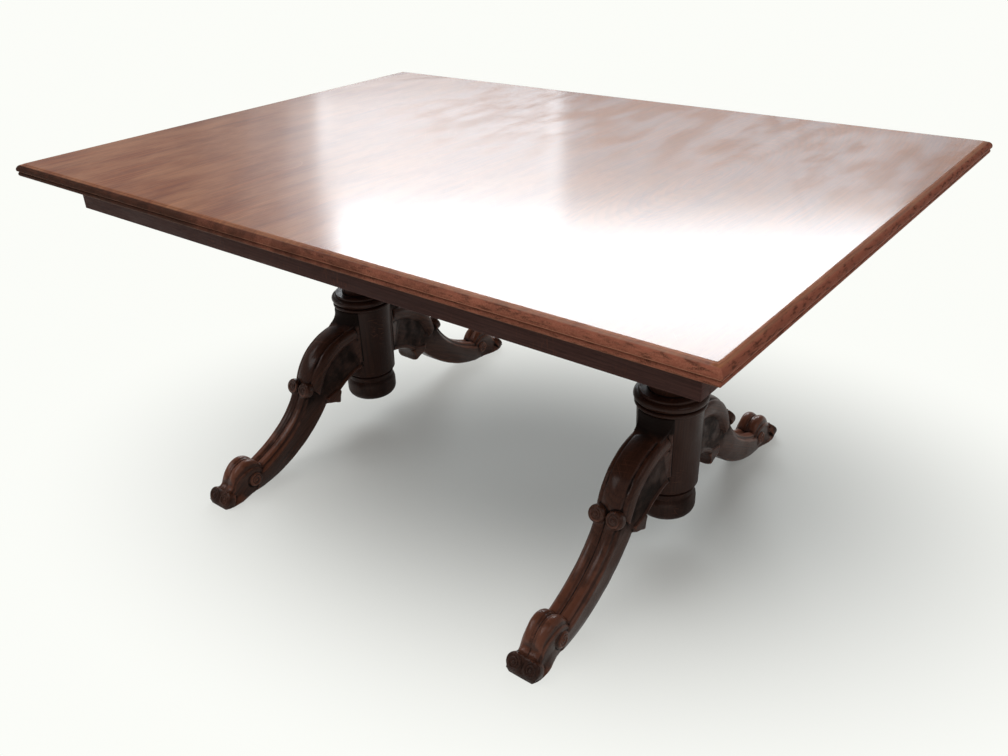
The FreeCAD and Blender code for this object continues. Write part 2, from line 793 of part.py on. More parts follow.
def lower_leg():
    """Reeded part from the knee down to the heel."""
    ankle, heel = (from_toe("ankle_reach"), amount("ankle_height")), (from_toe("heel_reach"), 0)
    knee = (amount("knee_reach") + amount("shin_step"), amount("knee_height"))
    shin = amount("shin_sweep")
    nape, tuck = back_of_knee(), amount("face_round")
    outer = sweep_line(knee, (knee[0] + shin / 4, knee[1] - shin),
                       (ankle[0] - amount("ankle_sweep"), ankle[1] + amount("ankle_rise")), ankle)
    under = sweep_line(heel, (heel[0] - amount("heel_sweep"), 0),
                       (nape[0] + amount("calf_sweep"), nape[1] - amount("calf_drop")), nape)
    inside = (knee[0] - tuck * 3, knee[1] + tuck)
    edges = [outer, straight(ankle, heel), under, straight(nape, inside), straight(inside, knee)]
    return reeded(edges, outer, amount("lower_leg_width"))


def foot():
    """Humped foot with its flat sole, running down to the toe."""
    hump, tuck, toe_height = amount("hump_height"), amount("hump_tuck"), amount("toe_height")
    toe = from_toe("toe_end")
    back = (from_toe("ankle_reach") - tuck, amount("ankle_height") - tuck)
    instep = (from_toe("toe_run"), amount("instep_height"))
    # Height of the two middle poles that makes the cubic curve pass the hump's height halfway along
    rise, lean = (hump * 8 - back[1] - instep[1]) / 6, tuck / 2
    crown = sweep_line(back, (back[0] + lean, rise), (instep[0] - lean, rise), instep)
    fall = sweep_line(instep, (instep[0] + lean / 3, instep[1] - (rise - instep[1]) / 3),
                      (toe - lean, toe_height), (toe, toe_height))
    heel = (from_toe("heel_reach") - amount("heel_tuck"), 0)
    edges = [crown, fall, straight((toe, toe_height), (toe, 0)), straight((toe, 0), heel),
             straight(heel, back)]
    return reeded(edges, crown, amount("foot_width"))


def leg_volutes():
    """Scroll ends at the knee, at the toe and on both sides of the foot."""
    tilt = math.radians(amount("knee_volute_tilt"))
    knee_axis = Vector(0, -math.cos(tilt), math.sin(tilt))
    knee = Vector(0, -amount("knee_reach"), amount("knee_height") - amount("knee_volute_drop"))
    toe_tilt, toe_radius = math.radians(amount("toe_volute_tilt")), amount("toe_volute_radius")
    toe_axis = Vector(0, -math.cos(toe_tilt), math.sin(toe_tilt))
    # Distance from the volute's base to the roll of its lower rim, which is the end of the toe
    rim, toe_length = amount("volute_rim"), amount("toe_volute_length")
    overhang = (toe_length - rim) * math.cos(toe_tilt) + (toe_radius - rim) * math.sin(toe_tilt) + rim
    toe = Vector(0, overhang - amount("leg_reach"),
                 toe_radius * math.cos(toe_tilt) + amount("toe_volute_lift"))
    scroll = Vector(0, -from_toe("side_scroll_reach"), amount("side_scroll_height"))
    scroll_length = amount("foot_width") / 2 + amount("side_scroll_proud")
    ends = []
    for side in (-1, 1):
        across = Vector(side, 0, 0)
        ends += [
            volute(amount("knee_volute_radius"), knee + across * (amount("knee_volute_spacing") / 2),
                   knee_axis, amount("knee_volute_proud")),
            volute(toe_radius, toe + across * (amount("toe_volute_spacing") / 2), toe_axis, toe_length),
            volute(amount("side_scroll_radius"), scroll, across, scroll_length),
        ]
    return ends


def column_room():
    """Space that the legs leave for the column: its tapered leg block, and the ring that overhangs it."""
    spare = amount("turned_clearance")
    foot, under_ring = amount("column_foot_height"), amount("leg_block_top")
    block = Part.makeCone(amount("column_foot_radius") + spare, amount("leg_block_radius") + spare,
                          under_ring - foot, Vector(0, 0, foot))
    ring = Part.makeCylinder(amount("ring_root_radius") + amount("lower_ring_height") / 2 + spare,
                             amount("table_height") - under_ring, Vector(0, 0, under_ring - spare))
    return block.fuse(ring)


def leg_shape():
    """One scroll leg, pointing along -Y from the column's axis, with the tenon on its root."""
    pieces = [*upper_leg(), *lower_leg(), *foot(), *leg_volutes()]
    carved = pieces[0]
    for piece in pieces[1:]:
        carved = carved.fuse(piece)
    carved = carved.cut(column_room())
    low, high = (level.number for level in tenon_levels())
    width, shoulder = amount("leg_tenon_width"), amount("leg_block_radius") + PLANE_MARGIN
    inner = amount("leg_block_radius") - amount("leg_tenon_depth")
    tenon = Part.makeBox(width, shoulder - inner, high - low, Vector(-width / 2, -shoulder, low))
    return carved.fuse(tenon).removeSplitter()


def leg(label, shape, x, turn):
    """One leg, stood at its column and turned to the front or the back."""
    item = doc.addObject("Part::Feature", label)
    item.Shape = shape
    return place(item, x=x, turn=turn)


carved_leg = leg_shape()
for side_name, side in (("left", -1), ("right", 1)):
    axis_x = size("pedestal_offset") * side
    nodes += [
        bearer(f"{side_name}_bearer", axis_x),
        pedestal_block(f"{side_name}_pedestal_block", axis_x),
        block_screws(f"{side_name}_block_screws", axis_x),
        column(f"{side_name}_column", axis_x),
        tenon_wedge(f"{side_name}_tenon_wedge", axis_x),
        drop(f"{side_name}_drop", axis_x),
        leg(f"{side_name}_front_leg", carved_leg, axis_x, 0),
        leg(f"{side_name}_back_leg", carved_leg, axis_x, 180),
    ]


# Turn buttons and their screws

def top_buttons(label):
    """Buttons under the top, each with a tongue in a rail's mouth and a hole for its screw."""
    pieces, holes = [], []
    length, width, height = size("button_length"), size("button_width"), size("button_height")
    for number, (x, y, turn) in enumerate(button_places()):
        towards = Rotation(Vector(0, 0, 1), turn)
        for name, low, high, rise in (("body", -length / 2, length / 2, height),
                                      ("tongue", -length / 2 - size("button_tongue"), as_size(0),
                                       size("button_tongue_height"))):
            block = doc.addObject("Part::Box", f"{label}_{name}_{number}")
            bind(block, Length=width, Width=high - low, Height=rise)
            corner = towards.multVec(Vector(1, 0, 0)), towards.multVec(Vector(0, 1, 0))
            shift = [x - width / 2 * round(corner[0].x) + low * round(corner[1].x),
                     y - width / 2 * round(corner[0].y) + low * round(corner[1].y)]
            pieces.append(place(block, *shift, z=0, turn=turn))
        hole = doc.addObject("Part::Cylinder", f"{label}_hole_{number}")
        bind(hole, Radius=size("button_screw_radius") + clearance, Height=height)
        holes.append(place(hole, x, y))
    wood = doc.addObject("Part::MultiFuse", f"{label}_wood")
    wood.Shapes = pieces
    bores = doc.addObject("Part::MultiFuse", f"{label}_bores")
    bores.Shapes = holes
    buttons = doc.addObject("Part::Cut", label)
    buttons.Base = wood
    buttons.Tool = bores
    return place(buttons, z=top_under - height)


def button_screws(label):
    """Round-headed screws up through the buttons into the top."""
    pieces = []
    head_height = size("button_head_height")
    for number, (x, y, _) in enumerate(button_places()):
        head = doc.addObject("Part::Cone", f"{label}_head_{number}")
        bind(head, Radius1=size("button_head_face"), Radius2=size("button_head_radius"), Height=head_height)
        shank = doc.addObject("Part::Cylinder", f"{label}_shank_{number}")
        bind(shank, Radius=size("button_screw_radius"),
             Height=head_height + size("button_height") + size("button_screw_bite"))
        pieces += [place(head, x, y, -head_height), place(shank, x, y, -head_height)]
    screws = doc.addObject("Part::MultiFuse", label)
    screws.Shapes = pieces
    return place(screws, z=top_under - size("button_height"))


nodes += [top_buttons("top_buttons"), button_screws("button_screws")]


# Check every object, then write each piece to its own file

doc.recompute()
for item in doc.Objects:
    if "Invalid" in item.State or "Error" in item.State:
        raise RuntimeError(f"{item.Label} failed: {item.State}")
for node in nodes:
    if node.Shape.isNull() or not node.Shape.isValid():
        raise RuntimeError(f"{node.Label} has no valid shape")

os.makedirs("parts", exist_ok=True)
for node in nodes:
    node.Shape.exportStep(f"parts/{node.Label}.step")
    print(f"{node.Label}: {len(node.Shape.Solids)} solids, {node.Shape.Volume / 1000:.1f} cm3")
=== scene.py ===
"""Looks of an oblong dining table on two scroll-legged pedestals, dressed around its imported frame.

Metres: +X along the top, +Y across it, +Z up, and the floor under the middle is the origin.
"""
import logging
import math
from dataclasses import dataclass
from enum import Enum
from functools import reduce
from typing import Any, Callable, Sequence

import bmesh
import bpy
import numpy as np
from mathutils import Matrix, Vector, noise


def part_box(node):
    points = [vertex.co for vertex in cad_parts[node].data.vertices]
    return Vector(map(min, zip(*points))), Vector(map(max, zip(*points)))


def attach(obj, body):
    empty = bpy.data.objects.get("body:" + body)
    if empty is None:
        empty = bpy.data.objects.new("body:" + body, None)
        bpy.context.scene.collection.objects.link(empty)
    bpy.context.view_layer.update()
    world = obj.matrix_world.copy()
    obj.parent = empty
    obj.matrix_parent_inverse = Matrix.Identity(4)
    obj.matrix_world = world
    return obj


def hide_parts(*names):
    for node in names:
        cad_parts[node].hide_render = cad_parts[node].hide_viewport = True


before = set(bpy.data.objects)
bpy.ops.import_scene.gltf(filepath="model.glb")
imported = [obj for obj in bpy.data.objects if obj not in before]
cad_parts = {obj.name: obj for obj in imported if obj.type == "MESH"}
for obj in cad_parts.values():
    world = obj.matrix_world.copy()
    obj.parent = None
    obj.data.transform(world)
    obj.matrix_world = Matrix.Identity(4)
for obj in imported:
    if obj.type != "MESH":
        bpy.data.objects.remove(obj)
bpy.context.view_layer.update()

Point = tuple[float, float]
Place = tuple[float, float, float]
Colour = tuple[float, float, float, float]
Socket = bpy.types.NodeSocket
Sockets = bpy.types.bpy_prop_collection
BMesh = bmesh.types.BMesh
Sections = Sequence[Sequence[Sequence[float]]]

ORIGIN: Place = (0.0, 0.0, 0.0)

log = logging.getLogger("table")


class Slot(Enum):
    """Finish slots of the record, which no piece here is given."""

    TOP = "top_wood"
    FRIEZE = "frieze_wood"
    PEDESTAL = "pedestal_wood"


class Side(Enum):
    """The two ends of the table, by the sign of X."""

    LEFT = -1
    RIGHT = 1

    @property
    def word(self) -> str:
        """The side's name in node names."""
        return self.name.lower()


class Facing(Enum):
    """The two long sides of the table, by the sign of Y."""

    FRONT = -1
    BACK = 1

    @property
    def word(self) -> str:
        """The facing's name in node names."""
        return self.name.lower()


class Grain(Enum):
    """Turns in degrees that bring a piece's grain onto the figure's Y axis."""

    ACROSS = ORIGIN
    ALONG = (0.0, 0.0, 90.0)
    UPRIGHT = (90.0, 0.0, 0.0)
    DOWN_THE_LEG = (-32.0, 0.0, 0.0)


# Curves and meshes

def arc(centre: Point, radius: float, start: float, end: float, steps: int) -> list[Point]:
    """Walk along a round stretch.

    Args:
        centre: middle of the round.
        radius: its radius.
        start: first angle in degrees, from the first axis towards the second.
        end: last angle in degrees.
        steps: number of chords.

    Returns:
        The points from start to end.
    """
    angles = [math.radians(start + (end - start) * step / steps) for step in range(steps + 1)]
    return [(centre[0] + radius * math.cos(turn), centre[1] + radius * math.sin(turn)) for turn in angles]


def cubic(poles: Sequence[Point], share: float) -> Vector:
    """Point of a cubic curve at a share of its run.

    Args:
        poles: the curve's four poles.
        share: share of its run.

    Returns:
        The point.
    """
    first, second, third, last = (Vector(pole) for pole in poles)
    rest = 1 - share
    return (first * rest ** 3 + second * 3 * rest ** 2 * share
            + third * 3 * rest * share ** 2 + last * share ** 3)


def shares(count: int, start: float = 0.0, end: float = 1.0) -> list[float]:
    """Evenly spaced shares from start to end."""
    return [start + (end - start) * step / count for step in range(count + 1)]


def mix(first: float, second: float, share: float) -> float:
    """Number a share of the way from the first to the second."""
    return first + (second - first) * share


def divided(profile: Sequence[Point], step: float) -> list[Point]:
    """Divide a profile's chords so that none is longer than a step.

    Args:
        profile: points of the profile.
        step: the longest chord.

    Returns:
        The points with those added between them.
    """
    points = [profile[0]]
    for before, after in zip(profile, profile[1:]):
        count = max(math.ceil(math.dist(before, after) / step), 1)
        points += [(mix(before[0], after[0], share), mix(before[1], after[1], share))
                   for share in shares(count)[1:]]
    return points


def loft(bm: BMesh, sections: Sections, closed: bool) -> list[list]:
    """Draw a row of sections out of the first one by extruding its edges.

    Args:
        bm: mesh that the skin goes into.
        sections: places of each section's corners, as many in each.
        closed: whether a section closes on itself.

    Returns:
        The vertices of each section.
    """
    ring = [bm.verts.new(place) for place in sections[0]]
    pairs = list(zip(ring, ring[1:] + ring[:1]))
    edges = [bm.edges.new(pair) for pair in (pairs if closed else pairs[:-1])]
    rows = [ring]
    for section in sections[1:]:
        made = bmesh.ops.extrude_edge_only(bm, edges=edges)["geom"]
        fresh = {item for item in made if isinstance(item, bmesh.types.BMVert)}
        ring = [next(edge.other_vert(vert) for edge in vert.link_edges if edge.other_vert(vert) in fresh)
                for vert in ring]
        for vert, place in zip(ring, section):
            vert.co = place
        edges = [item for item in made
                 if isinstance(item, bmesh.types.BMEdge) and all(vert in fresh for vert in item.verts)]
        rows.append(ring)
    return rows


def close_ring(bm: BMesh, ring: Sequence[bmesh.types.BMVert]) -> None:
    """Fill a closed row of vertices with one face."""
    edges = [bm.edges.get(pair) or bm.edges.new(pair) for pair in zip(ring, [*ring[1:], ring[0]])]
    bmesh.ops.contextual_create(bm, geom=edges)


def solid_loft(bm: BMesh, sections: Sections) -> None:
    """Loft closed sections and close both ends.

    Args:
        bm: mesh that the solid goes into.
        sections: places of each section's corners, as many in each.
    """
    rows = loft(bm, sections, closed=True)
    close_ring(bm, rows[0])
    close_ring(bm, rows[-1])


def turned(bm: BMesh, profile: Sequence[Point], steps: int, stand: Matrix) -> None:
    """Turn a profile of (radius, height) points about an axis and add it to a mesh.

    Args:
        bm: mesh that the turning goes into.
        profile: points that start and end on the axis.
        steps: number of facets around it.
        stand: where the turning's foot and axis go.
    """
    part = bmesh.new()
    verts = [part.verts.new((radius, 0, height)) for radius, height in profile]
    edges = [part.edges.new(pair) for pair in zip(verts, verts[1:])]
    bmesh.ops.spin(part, geom=verts + edges, cent=(0, 0, 0), axis=(0, 0, 1), angle=math.tau, steps=steps,
                   use_merge=True)
    bmesh.ops.remove_doubles(part, verts=part.verts, dist=1e-6)
    bmesh.ops.recalc_face_normals(part, faces=part.faces)
    part.transform(stand)
    shell = bpy.data.meshes.new("turning")
    part.to_mesh(shell)
    part.free()
    bm.from_mesh(shell)
    bpy.data.meshes.remove(shell)


def soften(bm: BMesh, offset: float, segments: int) -> None:
    """Round every edge of a mesh."""
    bmesh.ops.bevel(bm, geom=bm.edges[:], offset=offset, affect="EDGES", segments=segments, profile=0.5,
                    material=-1)


def settle(bm: BMesh, name: str, crease: float = 35.0) -> bpy.types.Mesh:
    """Turn a bmesh into a smooth-shaded mesh.

    Args:
        bm: the piece, freed here.
        name: the mesh's name.
        crease: angle in degrees above which an edge stays sharp.

    Returns:
        The finished mesh.
    """
    bmesh.ops.recalc_face_normals(bm, faces=bm.faces)
    mesh = bpy.data.meshes.new(name)
    bm.to_mesh(mesh)
    bm.free()
    mesh.shade_smooth()
    mesh.set_sharp_from_angle(angle=math.radians(crease))
    return mesh


def add_piece(name: str, mesh: bpy.types.Mesh, node: str, finish: bpy.types.Material) -> None:
    """Show a mesh in place of a CAD node.

    Args:
        name: the piece's name.
        mesh: its mesh, already in place.
        node: CAD node that it stands for.
        finish: its material.
    """
    piece = bpy.data.objects.new(name, mesh)
    bpy.context.scene.collection.objects.link(piece)
    mesh.materials.append(finish)
    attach(piece, "root")
    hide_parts(node)
    log.info("%s stands for %s, %d faces", name, node, len(mesh.polygons))


def relaxed(places: np.ndarray, ends: np.ndarray, rounds: int) -> np.ndarray:
    """Average every vertex with its neighbours some rounds long.

    Args:
        places: vertex positions, one row each.
        ends: vertex numbers of each edge, one row each.
        rounds: number of rounds.

    Returns:
        The averaged positions.
    """
    count = len(places)
    links = np.maximum(np.bincount(ends.ravel(), minlength=count), 1)
    for _ in range(rounds):
        totals = [np.bincount(ends[:, 0], places[ends[:, 1], axis], count)
                  + np.bincount(ends[:, 1], places[ends[:, 0], axis], count) for axis in range(3)]
        places = np.stack(totals, axis=1) / links[:, None]
    return places


def mesh_numbers(mesh: bpy.types.Mesh) -> tuple[np.ndarray, np.ndarray, np.ndarray]:
    """Vertex places, vertex normals and edge ends of a mesh, as arrays.

    Args:
        mesh: the mesh.

    Returns:
        The three arrays, with one row for each vertex or edge.
    """
    places = np.empty(len(mesh.vertices) * 3, np.float32)
    normals = np.empty(len(mesh.vertices) * 3, np.float32)
    ends = np.empty(len(mesh.edges) * 2, np.int32)
    mesh.vertices.foreach_get("co", places)
    mesh.vertices.foreach_get("normal", normals)
    mesh.edges.foreach_get("vertices", ends)
    return places.reshape(-1, 3).astype(float), normals.reshape(-1, 3).astype(float), ends.reshape(-1, 2)


def write_mask(mesh: bpy.types.Mesh, name: str, values: np.ndarray) -> None:
    """Store one number per vertex as an attribute that finishes read."""
    layer = mesh.attributes.new(name, "FLOAT", "POINT")
    layer.data.foreach_set("value", np.clip(values, 0, 1).astype(np.float32))


def wear_of(mesh: bpy.types.Mesh, fine: float, broad: float,
            rounds: tuple[int, int] = (8, 40)) -> tuple[np.ndarray, np.ndarray]:
    """Find the rubbed ridges and the hollows of a mesh.

    Args:
        mesh: carved or turned piece.
        fine: height over its near surroundings at which a bead counts as fully rubbed.
        broad: the same for forms as wide as a reed.
        rounds: rounds of averaging that give the near and the far surroundings.

    Returns:
        How rubbed and how hollow each vertex is.
    """
    places, normals, ends = mesh_numbers(mesh)
    near = relaxed(places, ends, rounds[0])
    far = relaxed(near, ends, rounds[1])
    sharp = np.einsum("ij,ij->i", places - near, normals) / fine
    wide = np.einsum("ij,ij->i", places - far, normals) / broad
    rub = np.maximum(sharp, 0) * 0.6 + np.maximum(wide, 0) * 0.6
    recess = np.maximum(-sharp, 0) * 0.7 + np.maximum(-wide, 0) * 0.6
    return rub, recess


# Node trees

class Graph:
    """Short calls that add nodes to one node tree and wire them."""

    def __init__(self, tree: bpy.types.NodeTree) -> None:
        """Keep the tree that the nodes go into."""
        self.tree = tree

    def feed(self, node: bpy.types.Node, inputs: dict[Any, Any]) -> None:
        """Fill a node's inputs.

        Args:
            node: the node.
            inputs: a socket to wire or a plain value to set, by the input's name or number.
        """
        for key, value in inputs.items():
            if isinstance(value, Socket):
                self.tree.links.new(value, node.inputs[key])
            else:
                node.inputs[key].default_value = value

    def add(self, kind: str, inputs: dict[Any, Any] | None = None, **settings: Any) -> bpy.types.Node:
        """Add one node.

        Args:
            kind: Blender's name of the node.
            inputs: values or sockets for its inputs, by name or number.
            **settings: the node's own properties.

        Returns:
            The new node.
        """
        node = self.tree.nodes.new(kind)
        for name, value in settings.items():
            setattr(node, name, value)
        self.feed(node, inputs or {})
        return node

    def use(self, group: bpy.types.NodeTree, inputs: dict[str, Any]) -> Sockets:
        """Place a shared effect and give its masks."""
        return self.add("ShaderNodeGroup", inputs, node_tree=group).outputs

    def split(self, vector: Socket) -> Sockets:
        """The three numbers of a vector."""
        return self.add("ShaderNodeSeparateXYZ", {0: vector}).outputs

    def calc(self, operation: str, *values: Any) -> Socket:
        """Work out one number from others."""
        return self.add("ShaderNodeMath", dict(enumerate(values)), operation=operation).outputs[0]

    def times(self, first: Any, second: Any) -> Socket:
        """Multiply two numbers."""
        return self.calc("MULTIPLY", first, second)

    def less(self, first: Any, second: Any) -> Socket:
        """Take the second number from the first."""
        return self.calc("SUBTRACT", first, second)

    def blend(self, share: Any, first: Any, second: Any) -> Socket:
        """Blend two colours by a share."""
        return self.add("ShaderNodeMix", {0: share, 6: first, 7: second}, data_type="RGBA").outputs[2]

    def layered(self, ground: Any, *layers: tuple[Any, Any]) -> Socket:
        """Lay colours over a ground, one after another.

        Args:
            ground: colour or socket at the bottom.
            *layers: the mask and the colour of each layer, from the lowest up.

        Returns:
            The finished colour.
        """
        for mask, colour in layers:
            ground = self.blend(mask, ground, colour)
        return ground

    def fade(self, value: Any, low: float, high: float, start: float = 0.0, end: float = 1.0) -> Socket:
        """Smooth step of a number from start at low to end at high."""
        inputs = {"Value": value, "From Min": low, "From Max": high, "To Min": start, "To Max": end}
        return self.add("ShaderNodeMapRange", inputs, interpolation_type="SMOOTHSTEP").outputs[0]

    def spread(self, vector: Socket, density: Place, turn: Place = ORIGIN) -> Socket:
        """Turn a vector by degrees, then count it in repeats per metre.

        Args:
            vector: place to turn.
            density: repeats per metre along each axis.
            turn: degrees about each axis.

        Returns:
            The turned and counted vector.
        """
        turned_to = {"Vector": vector, "Rotation": tuple(math.radians(angle) for angle in turn)}
        middle = self.add("ShaderNodeMapping", turned_to).outputs[0]
        return self.add("ShaderNodeVectorMath", {0: middle, 1: density}, operation="MULTIPLY").outputs[0]

    def cloud(self, place: Socket, density: Place, detail: float = 2.0, roughness: float = 0.5,
              turn: Place = ORIGIN) -> Socket:
        """Noise over a place.

        Args:
            place: where the surface is.
            density: repeats per metre along each axis.
            detail: octaves of finer noise.
            roughness: how much the finer noise counts.
            turn: degrees to turn the place by first.

        Returns:
            The noise, about 0.5 on average.
        """
        inputs = {"Vector": self.spread(place, density, turn), "Scale": 1.0, "Detail": detail,
                  "Roughness": roughness}
        return self.add("ShaderNodeTexNoise", inputs).outputs["Fac"]

    def bump(self, height: Socket, strength: float, distance: float) -> Socket:
        """Normal of a surface with a small relief."""
        inputs = {"Height": height, "Strength": strength, "Distance": distance}
        return self.add("ShaderNodeBump", inputs).outputs[0]


class Effect:
    """A shader node group that several finishes share."""

    def __init__(self, name: str, inputs: dict[str, Any], outputs: Sequence[str]) -> None:
        """Start the group.

        Args:
            name: the group's name.
            inputs: default of each input, a tuple for a vector and a number otherwise.
            outputs: names of the masks that it gives.
        """
        self.tree = bpy.data.node_groups.new(name, "ShaderNodeTree")
        for label, value in inputs.items():
            kind = "NodeSocketVector" if isinstance(value, tuple) else "NodeSocketFloat"
            made = self.tree.interface.new_socket(name=label, in_out="INPUT", socket_type=kind)
            made.default_value = value
        for label in outputs:
            self.tree.interface.new_socket(name=label, in_out="OUTPUT", socket_type="NodeSocketFloat")
        self.graph = Graph(self.tree)
        self.given = self.graph.add("NodeGroupInput").outputs
        self.result = self.graph.add("NodeGroupOutput")

    def give(self, **masks: Socket) -> bpy.types.NodeTree:
        """Wire masks to the group's outputs, and hand the group over."""
        self.graph.feed(self.result, masks)
        return self.tree


@dataclass(frozen=True)
class WoodFigure:
    """Timber with its grain along Y: rings, fibre, pores, streaks and ribbon, in repeats per metre."""

    sway: Place = (4.0, 0.9, 4.0)
    ripple: Place = (45.0, 3.0, 45.0)
    ripple_depth: float = 1.4
    late_growth: float = 1.7
    ring_end: float = 0.86
    fibre: Place = (300.0, 6.0, 300.0)
    pores: Place = (1300.0, 42.0, 1300.0)
    pore_limits: Point = (0.58, 0.70)
    streaks: Place = (110.0, 5.0, 110.0)
    ribbon: Place = (14.0, 2.2, 14.0)

    def group(self) -> bpy.types.NodeTree:
        """Build the group for timber.

        Returns:
            The group, with a mask for each part of the figure.
        """
        inputs = {"Place": ORIGIN, "Heart": ORIGIN, "Slope": 0.05, "Ring Width": 0.005, "Waver": 0.02}
        effect = Effect("timber_figure", inputs, ("Rings", "Fibre", "Pores", "Streaks", "Ribbon"))
        graph, given = effect.graph, effect.given
        place = given["Place"]
        sway = graph.less(graph.cloud(place, self.sway, 1.0), 0.5)
        ripple = graph.less(graph.cloud(place, self.ripple), 0.5)
        offset = graph.add("ShaderNodeVectorMath", {0: place, 1: given["Heart"]}, operation="SUBTRACT")
        parts = graph.split(offset.outputs[0])
        across = graph.calc("ADD", parts[0], graph.times(sway, given["Waver"]))
        depth = graph.calc("ADD", parts[2], graph.times(parts[1], given["Slope"]))
        radius = graph.calc("SQRT", graph.calc("ADD", graph.calc("POWER", across, 2.0),
                                               graph.calc("POWER", depth, 2.0)))
        phase = graph.calc("ADD", graph.calc("DIVIDE", radius, given["Ring Width"]),
                           graph.times(ripple, self.ripple_depth))
        rise = graph.calc("FRACT", phase)
        return effect.give(
            Rings=graph.times(graph.calc("POWER", rise, self.late_growth),
                              graph.fade(rise, self.ring_end, 1.0, 1.0, 0.0)),
            Fibre=graph.cloud(place, self.fibre, 3.0, 0.6),
            Pores=graph.fade(graph.cloud(place, self.pores, 1.0), *self.pore_limits),
            Streaks=graph.cloud(place, self.streaks, 3.0, 0.6),
            Ribbon=graph.cloud(place, self.ribbon, 3.0),
        )


@dataclass(frozen=True)
class WearDirtAndPaintedLight:
    """Age and painted light: ridges rubbed by hands and cloths and painted lighter, and dirt and painted
    shade in the hollows, all in patches.
    """

    patches: Place = (28.0, 28.0, 28.0)
    patch_limits: Point = (0.25, 0.75)
    patch_strength: Point = (0.65, 1.3)
    rub_limits: Point = (0.35, 0.75)
    soil_limits: Point = (0.20, 0.65)

    def group(self) -> bpy.types.NodeTree:
        """Build the group for age and for painted light and shade.

        Returns:
            The group, with the mask of rubbed and painted-lighter places, and the mask of soiled and
            painted-shade places.
        """
        effect = Effect("wear_dirt_and_painted_light", {"Place": ORIGIN, "Rub": 1.0, "Soil": 1.0}, ("Rubbed", "Soiled And Shaded"))
        graph, given = effect.graph, effect.given
        patchy = graph.cloud(given["Place"], self.patches, 4.0, 0.6)
        masks = {}
        # The rub and recess attributes carry wear and dirt together with painted light and painted shade
        for label, mask, amount, limits in (("Rubbed", "rub", "Rub", self.rub_limits),
                                            ("Soiled And Shaded", "recess", "Soil", self.soil_limits)):
            painted = graph.add("ShaderNodeAttribute", attribute_name=mask, attribute_type="GEOMETRY")
            broken = graph.times(painted.outputs["Fac"],
                                 graph.fade(patchy, *self.patch_limits, *self.patch_strength))
            masks[label] = graph.times(graph.fade(broken, *limits), given[amount])
        return effect.give(**masks)


@dataclass(frozen=True)
class SurfaceMarks:
    """A used polish: fine scratches that cross, dull haze and slow unevenness."""

    hairs: tuple[tuple[float, Place], ...] = (
        (22.0, (900.0, 7.0, 60.0)), (-41.0, (760.0, 9.0, 60.0)), (78.0, (820.0, 6.0, 60.0)))
    hair_limits: Point = (0.74, 0.80)
    scratched: Place = (9.0, 9.0, 9.0)
    scratched_limits: Point = (0.50, 0.66)
    haze: Place = (18.0, 7.0, 18.0)
    haze_limits: Point = (0.30, 0.70)
    unevenness: Place = (24.0, 5.0, 24.0)

    def group(self) -> bpy.types.NodeTree:
        """Build the group for a used polish.

        Returns:
            The group, with the three masks.
        """
        effect = Effect("surface_marks", {"Place": ORIGIN}, ("Scratches", "Haze", "Unevenness"))
        graph, place = effect.graph, effect.given["Place"]
        lines = [graph.fade(graph.cloud(place, density, 0.0, turn=(0.0, 0.0, turn)), *self.hair_limits)
                 for turn, density in self.hairs]
        crossed = reduce(lambda below, line: graph.calc("MAXIMUM", below, line), lines)
        where = graph.fade(graph.cloud(place, self.scratched), *self.scratched_limits)
        return effect.give(
            Scratches=graph.times(crossed, where),
            Haze=graph.fade(graph.cloud(place, self.haze, 4.0, 0.6), *self.haze_limits),
            Unevenness=graph.cloud(place, self.unevenness),
        )


@dataclass(frozen=True)
class Effects:
    """The shared node groups, built once."""

    figure: bpy.types.NodeTree
    wear: bpy.types.NodeTree
    marks: bpy.types.NodeTree

    @classmethod
    def build(cls) -> "Effects":
        """Build the three groups."""
        return cls(WoodFigure().group(), WearDirtAndPaintedLight().group(), SurfaceMarks().group())


def new_material(name: str) -> tuple[bpy.types.Material, Graph, bpy.types.Node]:
    """Start a material.

    Args:
        name: the material's name.

    Returns:
        The material, its graph, and its Principled shader wired to the output.
    """
    material = bpy.data.materials.new(name)
    material.use_nodes = True
    material.node_tree.nodes.clear()
    graph = Graph(material.node_tree)
    shader = graph.add("ShaderNodeBsdfPrincipled")
    graph.add("ShaderNodeOutputMaterial", {"Surface": shader.outputs[0]})
    return material, graph, shader


# Finishes

@dataclass(frozen=True)
class Cut:
    """How a board was cut from its log: where the heart lies, the grain's slope, and the growth rings."""

    heart: Place
    slope: float
    ring_width: float
    waver: float = 0.05

    def figure(self, graph: Graph, place: Socket, effects: Effects) -> Sockets:
        """Place the timber figure of this cut in a material."""
        return graph.use(effects.figure, {"Place": place, "Heart": self.heart, "Slope": self.slope,
                                          "Ring Width": self.ring_width, "Waver": self.waver})


